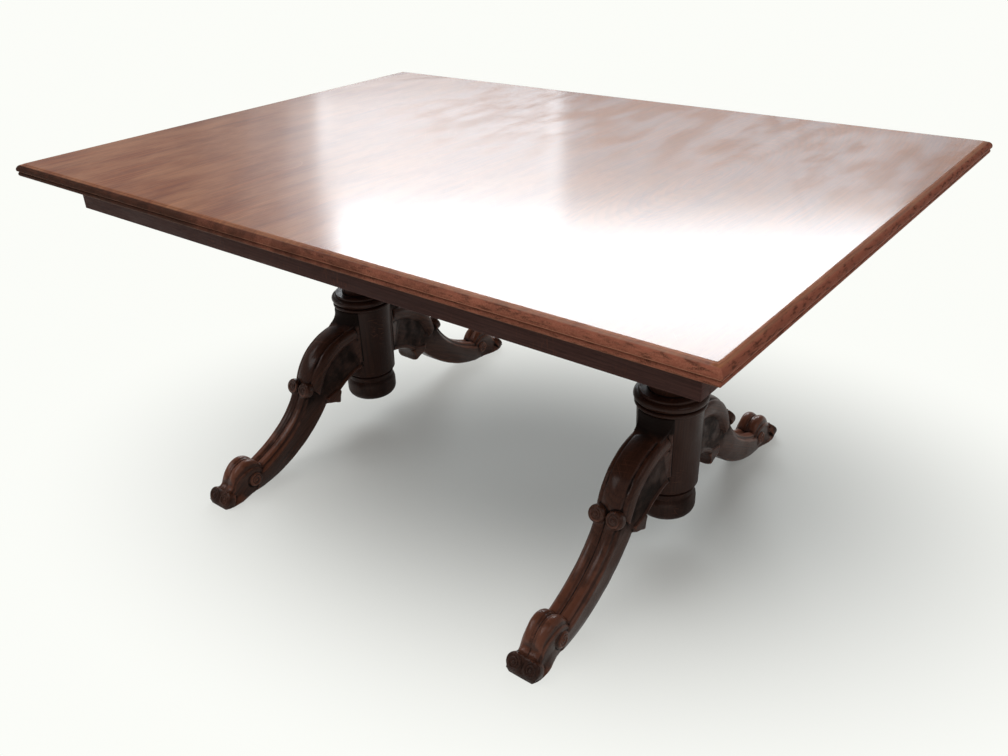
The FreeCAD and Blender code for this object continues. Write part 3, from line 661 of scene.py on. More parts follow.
@dataclass(frozen=True)
class PolishedTop:
    """French-polished mahogany of one board of the top, clear under a coat, with a worn moulding that is
    painted darker at the left and lighter at the right.
    """

    name: str
    cut: Cut
    dark: Colour = (0.075, 0.017, 0.005, 1.0)
    middle: Colour = (0.190, 0.047, 0.012, 1.0)
    light: Colour = (0.300, 0.088, 0.024, 1.0)
    bloom: Colour = (0.400, 0.185, 0.088, 1.0)
    rubbed: Colour = (0.480, 0.200, 0.120, 1.0)
    soil: Colour = (0.022, 0.010, 0.007, 1.0)
    stained_and_shaded_edge: Colour = (0.020, 0.010, 0.008, 1.0)
    bruise: Colour = (0.050, 0.018, 0.012, 1.0)
    worn_and_lit_edge: Colour = (0.310, 0.100, 0.062, 1.0)
    bare: Colour = (0.150, 0.078, 0.046, 1.0)
    ring_mark: Place = (-0.290, -0.275, 0.735)
    ring_radius: float = 0.036
    patches: Place = (24.0, 24.0, 24.0)
    dents: Place = (48.0, 48.0, 260.0)
    specks: Place = (520.0, 520.0, 620.0)
    clear_gloss: float = 0.30
    dull_gloss: float = 0.42
    clear_coat: float = 0.80
    dull_coat: float = 0.45
    coat_roughness: float = 0.16
    sheen: float = 0.02
    relief: Point = (0.04, 0.0004)

    def worn_and_lit(self, graph: Graph, place: Socket) -> Socket:
        """Mask of the moulding's wear by hands and of its painted light, both growing towards the right."""
        patchy = graph.cloud(place, self.patches, 4.0, 0.6)
        return graph.fade(graph.calc("ADD", graph.split(place)[0], patchy), 0.05, 1.35)

    def edge_colour(self, graph: Graph, place: Socket, worn_and_lit: Socket) -> Socket:
        """Colour of the moulding: dark stain and painted shade, worn red and painted lighter towards the
        right, with dark dents.

        Args:
            graph: the material's graph.
            place: where the surface is.
            worn_and_lit: mask of the moulding's wear and painted light.

        Returns:
            The colour.
        """
        dents = graph.cloud(place, self.dents, 3.0, 0.65)
        return graph.layered(self.stained_and_shaded_edge, (worn_and_lit, self.worn_and_lit_edge),
                             (graph.fade(dents, 0.48, 0.66, 0.0, 0.75), self.bruise))

    def end_grain(self, graph: Graph, place: Socket, across: Socket, worn_and_lit: Socket) -> Socket:
        """Mask of the worn end grain, in specks.

        Args:
            graph: the material's graph.
            place: where the surface is.
            across: how far the surface faces across the table.
            worn_and_lit: mask of the moulding's wear and painted light.

        Returns:
            The mask.
        """
        ends = graph.fade(graph.calc("ABSOLUTE", across), 0.45, 0.75)
        speckle = graph.cloud(place, self.specks, 2.0, 0.7)
        specks = graph.times(ends, graph.fade(speckle, 0.40, 0.66, 0.0, 0.45))
        return graph.times(specks, graph.fade(worn_and_lit, 0.0, 1.0, 0.10, 0.8))

    def ring_scratch(self, graph: Graph, place: Socket) -> Socket:
        """Mask of the faint curved scratch that a dish left on the polish.

        Args:
            graph: the material's graph.
            place: where the surface is.

        Returns:
            The mask.
        """
        away = graph.add("ShaderNodeVectorMath", {0: place, 1: self.ring_mark}, operation="DISTANCE")
        line = graph.calc("ABSOLUTE", graph.less(away.outputs["Value"], self.ring_radius))
        bow = graph.fade(graph.less(graph.split(place)[0], self.ring_mark[0]), 0.0, 0.025)
        return graph.times(graph.fade(line, 0.0006, 0.0022, 1.0, 0.0), bow)

    def dulled(self, graph: Graph, place: Socket, haze: Socket) -> Socket:
        """Mask of the polish's dull haze, which grows towards the back and the right.

        Args:
            graph: the material's graph.
            place: where the surface is.
            haze: mask of the haze all over.

        Returns:
            The mask.
        """
        spots = graph.split(place)
        haze = graph.times(haze, graph.fade(spots[1], -0.20, 0.40, 0.15, 1.0))
        return graph.times(haze, graph.fade(spots[0], -0.62, -0.20, 0.10, 1.0))

    def material(self, effects: Effects) -> bpy.types.Material:
        """Build the board's material.

        Args:
            effects: the shared node groups.

        Returns:
            The material.
        """
        material, graph, shader = new_material(self.name)
        spot = graph.add("ShaderNodeTexCoord").outputs
        place = spot["Object"]
        figure = self.cut.figure(graph, place, effects)
        wear = graph.use(effects.wear, {"Place": place})
        marks = graph.use(effects.marks, {"Place": place})
        normal = graph.split(spot["Normal"])
        upward = graph.fade(normal[2], 0.84, 0.985)
        under = graph.fade(normal[2], -0.5, -0.8)
        edge = graph.times(graph.less(1.0, upward), 0.94)
        worn_and_lit = self.worn_and_lit(graph, place)
        scratched = graph.calc("MAXIMUM", marks["Scratches"], self.ring_scratch(graph, place))
        colour = graph.layered(
            self.middle,
            (graph.fade(figure["Streaks"], 0.28, 0.74), self.light),
            (graph.fade(figure["Ribbon"], 0.42, 0.66, 0.0, 0.5), self.middle),
            (graph.times(figure["Rings"], 0.55), self.dark),
            (graph.fade(figure["Fibre"], 0.42, 0.78, 0.0, 0.55), self.dark),
            (graph.times(figure["Pores"], 0.5), self.dark),
            (graph.times(marks["Haze"], 0.42), self.bloom),
            (graph.times(scratched, 0.40), self.bloom),
            # The moulding: dark stain and painted shade at the left, worn red and painted lighter towards
            # the right
            (edge, self.edge_colour(graph, place, worn_and_lit)),
            (self.end_grain(graph, place, normal[1], worn_and_lit), self.rubbed),
            # Rubbed places, with the shoulder's painted highlight, more towards the right
            (graph.times(wear["Rubbed"], graph.fade(worn_and_lit, 0.0, 1.0, 0.12, 0.60)), self.rubbed),
            # Dirt and painted shade in the quirks of the moulding
            (graph.times(wear["Soiled And Shaded"], 0.7), self.soil),
            (under, self.bare),
        )
        haze = self.dulled(graph, place, marks["Haze"])
        gloss = graph.calc("ADD", graph.fade(haze, 0.0, 1.0, self.clear_gloss, self.dull_gloss),
                           graph.times(figure["Fibre"], 0.015))
        for mask, least in ((edge, 0.55), (wear["Soiled And Shaded"], 0.6), (under, 0.72)):
            gloss = graph.calc("MAXIMUM", gloss, graph.times(mask, least))
        coat = graph.times(graph.fade(haze, 0.0, 1.0, self.clear_coat, self.dull_coat), upward)
        relief = graph.less(graph.times(marks["Unevenness"], 0.4), graph.times(figure["Pores"], 0.15))
        relief = graph.less(relief, graph.times(marks["Scratches"], 0.15))
        graph.feed(shader, {
            "Base Color": colour, "Roughness": gloss, "Specular IOR Level": self.sheen,
            "Coat Weight": coat, "Coat Roughness": self.coat_roughness,
            "Normal": graph.bump(relief, *self.relief),
        })
        return material


@dataclass(frozen=True)
class DarkPolish:
    """Old dark stain and wax over mahogany, worn red on the ridges with some painted light, and nearly black
    in the hollows with dirt and painted shade.
    """

    name: str
    grain: Grain
    mirrored: bool = False
    cut: Cut = Cut((0.3, 0.0, -0.25), 0.04, 0.006, 0.06)
    dark: Colour = (0.0200, 0.0090, 0.0062, 1.0)
    middle: Colour = (0.0470, 0.0180, 0.0112, 1.0)
    light: Colour = (0.0860, 0.0320, 0.0185, 1.0)
    rubbed: Colour = (0.1950, 0.0700, 0.0400, 1.0)
    soil: Colour = (0.0140, 0.0088, 0.0070, 1.0)
    gloss: float = 0.36
    dulling: float = 0.16
    wax: float = 0.38
    wax_roughness: float = 0.18
    sheen: float = 0.05
    relief: Point = (0.55, 0.0005)

    def along_grain(self, graph: Graph, place: Socket) -> Socket:
        """The place with the grain turned onto Y, the same front and back where the piece is mirrored.

        Args:
            graph: the material's graph.
            place: where the surface is.

        Returns:
            The turned place.
        """
        if self.mirrored:
            parts = graph.split(place)
            outward = graph.times(graph.calc("ABSOLUTE", parts[1]), -1.0)
            place = graph.add("ShaderNodeCombineXYZ", {0: parts[0], 1: outward, 2: parts[2]}).outputs[0]
        return graph.spread(place, (1.0, 1.0, 1.0), self.grain.value)

    def material(self, effects: Effects) -> bpy.types.Material:
        """Build the stained wood.

        Args:
            effects: the shared node groups.

        Returns:
            The material.
        """
        material, graph, shader = new_material(self.name)
        place = graph.add("ShaderNodeTexCoord").outputs["Object"]
        along = self.along_grain(graph, place)
        figure = self.cut.figure(graph, along, effects)
        wear = graph.use(effects.wear, {"Place": place})
        marks = graph.use(effects.marks, {"Place": along})
        colour = graph.layered(
            self.middle,
            (graph.fade(figure["Ribbon"], 0.30, 0.70), self.light),
            (graph.times(figure["Rings"], 0.4), self.dark),
            (graph.fade(figure["Fibre"], 0.40, 0.75, 0.0, 0.5), self.dark),
            (graph.times(figure["Pores"], 0.5), self.dark),
            (graph.times(marks["Scratches"], 0.35), self.rubbed),
            # Rubbed ridges, with the painted light that the wear mask carries low on the legs
            (graph.times(wear["Rubbed"], 0.66), self.rubbed),
            # Dirt and painted shade in the hollows and on sheltered faces
            (wear["Soiled And Shaded"], self.soil),
        )
        gloss = graph.fade(marks["Haze"], 0.0, 1.0, self.gloss, self.gloss + self.dulling)
        gloss = graph.less(gloss, graph.times(wear["Rubbed"], 0.06))
        gloss = graph.calc("ADD", gloss, graph.times(wear["Soiled And Shaded"], 0.25))
        coat = graph.times(graph.less(1.0, wear["Soiled And Shaded"]),
                           graph.fade(marks["Haze"], 0.0, 1.0, self.wax, self.wax * 0.5))
        relief = graph.less(graph.times(marks["Unevenness"], 1.2), graph.times(figure["Pores"], 0.45))
        graph.feed(shader, {
            "Base Color": colour, "Roughness": gloss, "Specular IOR Level": self.sheen,
            "Coat Weight": coat, "Coat Roughness": self.wax_roughness,
            "Normal": graph.bump(relief, *self.relief),
        })
        return material


@dataclass(frozen=True)
class BareTimber:
    """Sawn and planed wood of the hidden work, brown with age and dusty."""

    name: str = "bare_timber"
    cut: Cut = Cut((0.7, 0.0, 0.2), 0.03, 0.007)
    dark: Colour = (0.055, 0.026, 0.014, 1.0)
    light: Colour = (0.150, 0.080, 0.045, 1.0)
    dust: Colour = (0.230, 0.190, 0.150, 1.0)
    relief: Point = (0.5, 0.0006)

    def material(self, effects: Effects) -> bpy.types.Material:
        """Build the bare wood.

        Args:
            effects: the shared node groups.

        Returns:
            The material.
        """
        material, graph, shader = new_material(self.name)
        place = graph.add("ShaderNodeTexCoord").outputs["Object"]
        figure = self.cut.figure(graph, place, effects)
        marks = graph.use(effects.marks, {"Place": place})
        colour = graph.layered(
            self.light,
            (graph.fade(figure["Ribbon"], 0.3, 0.7), self.dark),
            (graph.times(figure["Rings"], 0.7), self.dark),
            (graph.fade(figure["Fibre"], 0.45, 0.8, 0.0, 0.6), self.dark),
            (graph.times(marks["Haze"], 0.30), self.dust),
        )
        graph.feed(shader, {
            "Base Color": colour, "Roughness": graph.fade(figure["Fibre"], 0.2, 0.8, 0.66, 0.86),
            "Normal": graph.bump(figure["Fibre"], *self.relief),
        })
        return material


@dataclass(frozen=True)
class AgedSteel:
    """Dull steel of the screws, browned by rust."""

    name: str = "aged_steel"
    bright: Colour = (0.300, 0.290, 0.275, 1.0)
    rust: Colour = (0.090, 0.042, 0.020, 1.0)
    patches: Place = (160.0, 160.0, 160.0)
    relief: Point = (0.4, 0.0003)

    def material(self, effects: Effects) -> bpy.types.Material:
        """Build the steel.

        Args:
            effects: the shared node groups.

        Returns:
            The material.
        """
        material, graph, shader = new_material(self.name)
        place = graph.add("ShaderNodeTexCoord").outputs["Object"]
        marks = graph.use(effects.marks, {"Place": place})
        bloom = graph.fade(graph.cloud(place, self.patches, 4.0, 0.65), 0.42, 0.64)
        graph.feed(shader, {
            "Base Color": graph.layered(self.bright, (bloom, self.rust),
                                        (graph.times(marks["Scratches"], 0.5), self.bright)),
            "Metallic": graph.fade(bloom, 0.0, 1.0, 1.0, 0.25),
            "Roughness": graph.fade(bloom, 0.0, 1.0, 0.38, 0.8),
            "Normal": graph.bump(bloom, *self.relief),
        })
        return material


# The top

@dataclass(frozen=True)
class EdgePoint:
    """Point of the moulded edge: inset from the edge's face, height over the underside, its wear and painted
    highlight, and its dirt and painted shade.
    """

    inset: float
    height: float
    rub: float = 0.0
    recess: float = 0.0


@dataclass(frozen=True)
class TableTop:
    """Three boards side by side, with one moulding worked round their outer edges."""

    thickness: float = 0.025
    ovolo_radius: float = 0.011
    ovolo_under: float = 0.0125
    fillet_under: float = 0.0105
    bead_radius: float = 0.0045
    bead_inset: float = 0.0015
    quirk: float = 0.0026
    arris: float = 0.0005
    shoulder: float = 0.0020
    moulding_depth: float = 0.015
    station: float = 0.006
    dent: float = 0.0006
    dent_density: float = 55.0
    chip_density: float = 16.0
    chip_shift: Place = (7.0, 3.0, 1.0)
    crease: float = 28.0

    def profile(self) -> list[EdgePoint]:
        """Points of the moulding from the underside up to the top's surface.

        Returns:
            The points with their wear.
        """
        bead_middle = self.bead_inset + self.bead_radius
        bead = arc((bead_middle, self.bead_radius), self.bead_radius, 270, 125, 10)
        ovolo = arc((self.ovolo_radius, self.ovolo_under), self.ovolo_radius, 180, 90, 10)
        points = [EdgePoint(self.moulding_depth, 0)]
        points += [EdgePoint(inset, height, rub=0.45 * math.sin(math.pi * step / 10))
                   for step, (inset, height) in enumerate(bead)]
        # The quirk over the bead, darkened with dirt and painted shade, then the fillet and the ovolo
        points += [
            EdgePoint(self.bead_inset + self.quirk, self.fillet_under - self.arris * 3, recess=0.7),
            EdgePoint(self.bead_inset + self.quirk * 0.6, self.fillet_under - self.arris, recess=0.5),
            EdgePoint(self.arris * 1.2, self.fillet_under + self.arris * 0.3, rub=0.8),
            EdgePoint(0, self.fillet_under + self.arris * 1.6, rub=1),
            EdgePoint(0, self.ovolo_under - self.arris, rub=1),
        ]
        points += [EdgePoint(inset, height, rub=0.25) for inset, height in ovolo[:-1]]
        # The rounded shoulder, worn and painted with a pale highlight line, and the surface
        points += [
            EdgePoint(self.ovolo_radius, self.thickness - self.shoulder * 0.50, rub=0.5),
            EdgePoint(self.ovolo_radius + self.shoulder * 0.7, self.thickness - self.shoulder * 0.15,
                      rub=0.8),
            EdgePoint(self.ovolo_radius + self.shoulder * 1.4, self.thickness, rub=0.3),
        ]
        points.append(EdgePoint(self.moulding_depth, self.thickness))
        return points

    def strip(self, corners: Sequence[Point]) -> list[tuple[Vector, Vector]]:
        """Stations along one run of the moulding.

        Args:
            corners: outer corners of the run in plan, anticlockwise round the top.

        Returns:
            The edge's place and the inward direction at each station, mitred at the corners.
        """
        points = [Vector(corner) for corner in corners]
        inward = [Vector((-(after - before).y, (after - before).x)).normalized()
                  for before, after in zip(points, points[1:])]
        stations = [(points[0], inward[0])]
        for index, (before, after) in enumerate(zip(points, points[1:])):
            count = round((after - before).length / self.station)
            spots = [before.lerp(after, share) for share in shares(count)[1:-1]]
            stations += [(spot, inward[index]) for spot in spots
                         if all((spot - mitre).length > self.moulding_depth for mitre in points[1:-1])]
            last = index + 1 == len(inward)
            stations.append((after, inward[index] if last else inward[index] + inward[index + 1]))
        return stations

    def section(self, place: Vector, inward: Vector, under: float) -> list[Vector]:
        """The moulding's points at one station, with its small dents.

        Args:
            place: the edge's place in plan.
            inward: direction into the board, longer at a mitre.
            under: height of the board's underside.

        Returns:
            The places of the profile's points.
        """
        mitred = inward.length > 1.1    # a corner's direction is the sum of two
        section = []
        for point in self.profile():
            spot = place + inward * point.inset
            where = Vector((spot.x, spot.y, point.height))
            knock = noise.noise(where * self.dent_density)
            chip = noise.noise(where * self.chip_density + Vector(self.chip_shift))
            loss = point.rub * self.dent * (max(knock - 0.15, 0) + max(chip - 0.45, 0) * 3)
            loss += point.rub * self.dent * mitred
            spot += inward.normalized() * loss
            section.append(Vector((spot.x, spot.y, under + point.height - loss * 0.3)))
        return section

    def board(self, name: str, runs: Sequence[Sequence[Point]], under: float) -> bpy.types.Mesh:
        """Build one board from the runs of moulding on its outer edges.

        Args:
            name: the mesh's name.
            runs: corners of each run in plan; between runs lie the joint faces.
            under: height of the board's underside.

        Returns:
            The board's mesh.
        """
        bm = bmesh.new()
        rub, recess = (bm.verts.layers.float.new(mask) for mask in ("rub", "recess"))
        profile = self.profile()
        strips = []
        for run in runs:
            rows = loft(bm, [self.section(place, inward, under) for place, inward in self.strip(run)], False)
            for row in rows:
                for vert, point in zip(row, profile):
                    vert[rub], vert[recess] = point.rub, point.recess
            strips.append(rows)
        # The underside and the surface, then the joint faces between the runs
        for level in (0, -1):
            close_ring(bm, [row[level] for rows in strips for row in rows])
        for rows, following in zip(strips, strips[1:] + strips[:1]):
            close_ring(bm, rows[-1] + following[0][::-1])
        return settle(bm, name, self.crease)

    def build(self, effects: Effects) -> None:
        """Build the three boards and polish each with its own figure.

        Args:
            effects: the shared node groups.
        """
        boards = (
            (Side.LEFT, PolishedTop("left_board_polish", Cut((-1.35, 0.0, 0.35), 0.03, 0.0065))),
            (Side.RIGHT, PolishedTop("right_board_polish", Cut((0.43, 0.06, 0.735), 0.28, 0.0075))),
        )
        low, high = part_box("middle_top_board")
        half = high.y
        runs = [[(low.x, -half), (high.x, -half)], [(high.x, half), (low.x, half)]]
        polish = PolishedTop("middle_board_polish", Cut((-0.85, 0.0, 0.45), 0.02, 0.0060))
        add_piece("moulded_middle_board", self.board("middle_board", runs, low.z), "middle_top_board",
                  polish.material(effects))
        for side, polish in boards:
            node = f"{side.word}_top_board"
            low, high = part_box(node)
            joint, end = (low.x, high.x) if side is Side.RIGHT else (high.x, low.x)
            run = [(joint, -half), (end, -half), (end, half), (joint, half)]
            run = run if side is Side.RIGHT else run[::-1]
            add_piece(f"moulded_{side.word}_board", self.board(f"{side.word}_board", [run], low.z), node,
                      polish.material(effects))


# The frieze

@dataclass(frozen=True)
class FriezeFrame:
    """Four plain rails under the top, dovetailed at the corners."""

    arris: float = 0.0014
    tail_arris: float = 0.0014 / 3
    tail_root: float = 0.020
    tail_tip: float = 0.028
    tail_spacing: float = 0.040
    tail_proud: float = 0.00015

    def long_rail(self, node: str) -> bpy.types.Mesh:
        """Rail under a long side, with softened arrises.

        Args:
            node: CAD node of the rail.

        Returns:
            The rail's mesh.
        """
        low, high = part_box(node)
        bm = bmesh.new()
        bmesh.ops.create_cube(bm, size=1.0)
        bmesh.ops.scale(bm, vec=high - low, verts=bm.verts)
        bmesh.ops.translate(bm, vec=(high + low) / 2, verts=bm.verts)
        soften(bm, self.arris, 3)
        return settle(bm, node)

    def end_rail(self, node: str, side: Side, inner: float) -> bpy.types.Mesh:
        """Rail under an end, with its dovetails showing on the end face.

        Args:
            node: CAD node of the rail.
            side: end of the table that it is on.
            inner: half distance between the long rails.

        Returns:
            The rail's mesh.
        """
        low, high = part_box(node)
        middle = (low.z + high.z) / 2
        run = []
        for height in (middle - self.tail_spacing / 2, middle + self.tail_spacing / 2):
            run += [(inner, height - self.tail_root / 2), (high.y, height - self.tail_tip / 2),
                    (high.y, height + self.tail_tip / 2), (inner, height + self.tail_root / 2)]
        front = [(inner, low.z), *run, (inner, high.z)]
        outline = front + [(-reach, height) for reach, height in front[::-1]]
        inside, outside = (low.x, high.x) if side is Side.RIGHT else (high.x, low.x)
        bm = bmesh.new()
        faces = [[(inside, reach, height) for reach, height in outline],
                 [(outside + self.tail_proud * side.value, reach, height) for reach, height in outline]]
        solid_loft(bm, faces)
        bmesh.ops.recalc_face_normals(bm, faces=bm.faces)
        soften(bm, self.tail_arris, 2)
        return settle(bm, node)

    def build(self, effects: Effects) -> None:
        """Build and stain the four rails.

        Args:
            effects: the shared node groups.
        """
        tones = {"dark": (0.0360, 0.0185, 0.0160, 1.0), "middle": (0.0730, 0.0355, 0.0300, 1.0),
                 "light": (0.0980, 0.0470, 0.0390, 1.0), "gloss": 0.55, "wax": 0.0}
        long_polish = DarkPolish("long_rail_polish", Grain.ALONG, **tones).material(effects)
        end_polish = DarkPolish("end_rail_polish", Grain.ACROSS, **tones).material(effects)
        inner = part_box("back_rail")[0].y
        for facing in Facing:
            node = f"{facing.word}_rail"
            add_piece(f"polished_{node}", self.long_rail(node), node, long_polish)
        for side in Side:
            node = f"{side.word}_end_rail"
            add_piece(f"polished_{node}", self.end_rail(node, side, inner), node, end_polish)


# The pedestals

@dataclass(frozen=True)
class TurnedColumn:
    """Turned column with its leg block, two rings and shaft, and the bun-shaped drop under it."""

    # The column, from its foot to its tenon
    foot_radius: float = 0.062
    block_radius: float = 0.065
    block_top: float = 0.314
    ring_root: float = 0.066
    ring_half: float = 0.004
    cove_half: float = 0.0015
    collar_root: float = 0.0645
    collar_half: float = 0.008
    collar_fillet: float = 0.006
    shaft_radius: float = 0.044
    swell_radius: float = 0.052
    swell_height: float = 0.431
    neck_radius: float = 0.038
    neck_ring: float = 0.007
    neck_height: float = 0.564
    cap_radius: float = 0.062
    cap_height: float = 0.020
    tenon_radius: float = 0.028
    # The drop
    drop_bottom: float = 0.040
    drop_belly: float = 0.060
    drop_neck: float = 0.0545
    drop_round: float = 0.020
    groove: float = 0.0016
    # The mesh, its wear, and its darkening: dirt and painted shade in the hollows, and the drop darker all
    # over
    facets: int = 128
    row: float = 0.0025
    wear: float = 0.55
    ridge: Point = (0.0030, 0.0130)
    drop_darkening: float = 0.36

    def column_profile(self, foot: float, under_block: float, top: float) -> list[Point]:
        """Profile of the column.

        Args:
            foot: height of the column's foot.
            under_block: underside of the pedestal block.
            top: top of the tenon.

        Returns:
            Points of (radius, height) from the foot up.
        """
        ring_middle = self.block_top + self.ring_half
        cove_low = ring_middle + self.ring_half
        cove_high = cove_low + self.cove_half * 2
        collar_middle = cove_high + self.collar_half
        shaft_low = collar_middle + self.collar_half + self.collar_fillet
        swell = [(self.shaft_radius, shaft_low), (self.swell_radius, shaft_low + 0.03),
                 (self.swell_radius, self.swell_height),
                 (self.swell_radius - 0.001, self.swell_height + 0.03)]
        taper = [swell[-1], (self.swell_radius - 0.003, self.swell_height + 0.07),
                 (self.neck_radius, self.neck_height - 0.04), (self.neck_radius, self.neck_height)]
        cap_low = under_block - self.cap_height
        return [
            # The leg block
            (0, foot), (self.foot_radius - self.groove, foot), (self.foot_radius, foot + self.groove),
            (self.block_radius, self.block_top - self.groove),
            (self.block_radius - self.groove, self.block_top), (self.ring_root, self.block_top),
            # The lower ring, the cove and the collar
            *arc((self.ring_root, ring_middle), self.ring_half, -90, 90, 14),
            (self.collar_root - self.cove_half, cove_low), (self.collar_root - self.cove_half, cove_high),
            *arc((self.collar_root, collar_middle), self.collar_half, -90, 90, 16),
            (self.collar_root - self.groove, shaft_low - self.collar_fillet),
            (self.collar_root - self.groove, shaft_low - self.groove),
            (self.collar_root - self.groove * 2, shaft_low),
            # The shaft, the neck ring, the cap and the tenon
            *(tuple(cubic(swell, share)) for share in shares(10)),
            *(tuple(cubic(taper, share)) for share in shares(10)[1:]),
            *arc((self.neck_radius, self.neck_height + self.neck_ring), self.neck_ring, -90, 90, 12),
            (self.neck_radius, cap_low - self.cap_height),
            *arc((self.cap_radius, cap_low - self.cap_height), self.cap_radius - self.neck_radius - 0.004,
                 180, 90, 8),
            (self.cap_radius, under_block), (self.tenon_radius, under_block), (self.tenon_radius, top),
            (0, top),
        ]

    def drop_profile(self, bottom: float, top: float) -> list[Point]:
        """Profile of the drop, from its flat bottom up to the groove under the column.

        Args:
            bottom: height of the drop's bottom.
            top: height of the column's foot.

        Returns:
            Points of (radius, height) from the bottom up.
        """
        crown = top - 0.0075
        return [
            # The bottom and the belly
            (0, bottom), (self.drop_bottom * 0.6, bottom), (self.drop_bottom - 0.002, bottom + 0.0004),
            *arc((self.drop_belly - self.drop_round, bottom + self.drop_round), self.drop_round, -86, 0, 12),
            *arc((self.drop_belly - 0.030, bottom + 0.034), 0.030, 0, 34, 6)[1:],
            # The neck and the shoulder over it
            (self.drop_neck + 0.0015, crown - 0.001), (self.drop_neck - 0.0015, crown),
            (self.drop_neck - 0.0015, crown + 0.0025), (self.drop_neck + 0.0010, crown + 0.0035),
            (self.drop_neck + 0.0035, top - 0.002), (self.drop_neck + 0.0035, top - 0.0004),
            (self.drop_neck + 0.0020, top), (0, top),
        ]

    def build(self, effects: Effects) -> None:
        """Turn and stain both columns and drops.

        Args:
            effects: the shared node groups.
        """
        polish = DarkPolish("turned_polish", Grain.UPRIGHT, middle=(0.0300, 0.0118, 0.0080, 1.0),
                            light=(0.0480, 0.0190, 0.0120, 1.0), wax=0.24).material(effects)
        for side in Side:
            low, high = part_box(f"{side.word}_column")
            drop_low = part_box(f"{side.word}_drop")[0].z
            under_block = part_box(f"{side.word}_pedestal_block")[0].z
            axis = Matrix.Translation(((low.x + high.x) / 2, (low.y + high.y) / 2, 0))
            for word, profile in (("column", self.column_profile(low.z, under_block, high.z)),
                                  ("drop", self.drop_profile(drop_low, low.z))):
                bm = bmesh.new()
                turned(bm, divided(profile, self.row), self.facets, axis)
                mesh = settle(bm, f"{side.word}_{word}")
                rub, recess = wear_of(mesh, *self.ridge)
                write_mask(mesh, "rub", rub * self.wear)
                # Dirt and painted shade in the hollows, and the whole drop darker
                write_mask(mesh, "recess", np.maximum(recess, self.drop_darkening * (word == "drop")))
                add_piece(f"turned_{side.word}_{word}", mesh, f"{side.word}_{word}", polish)


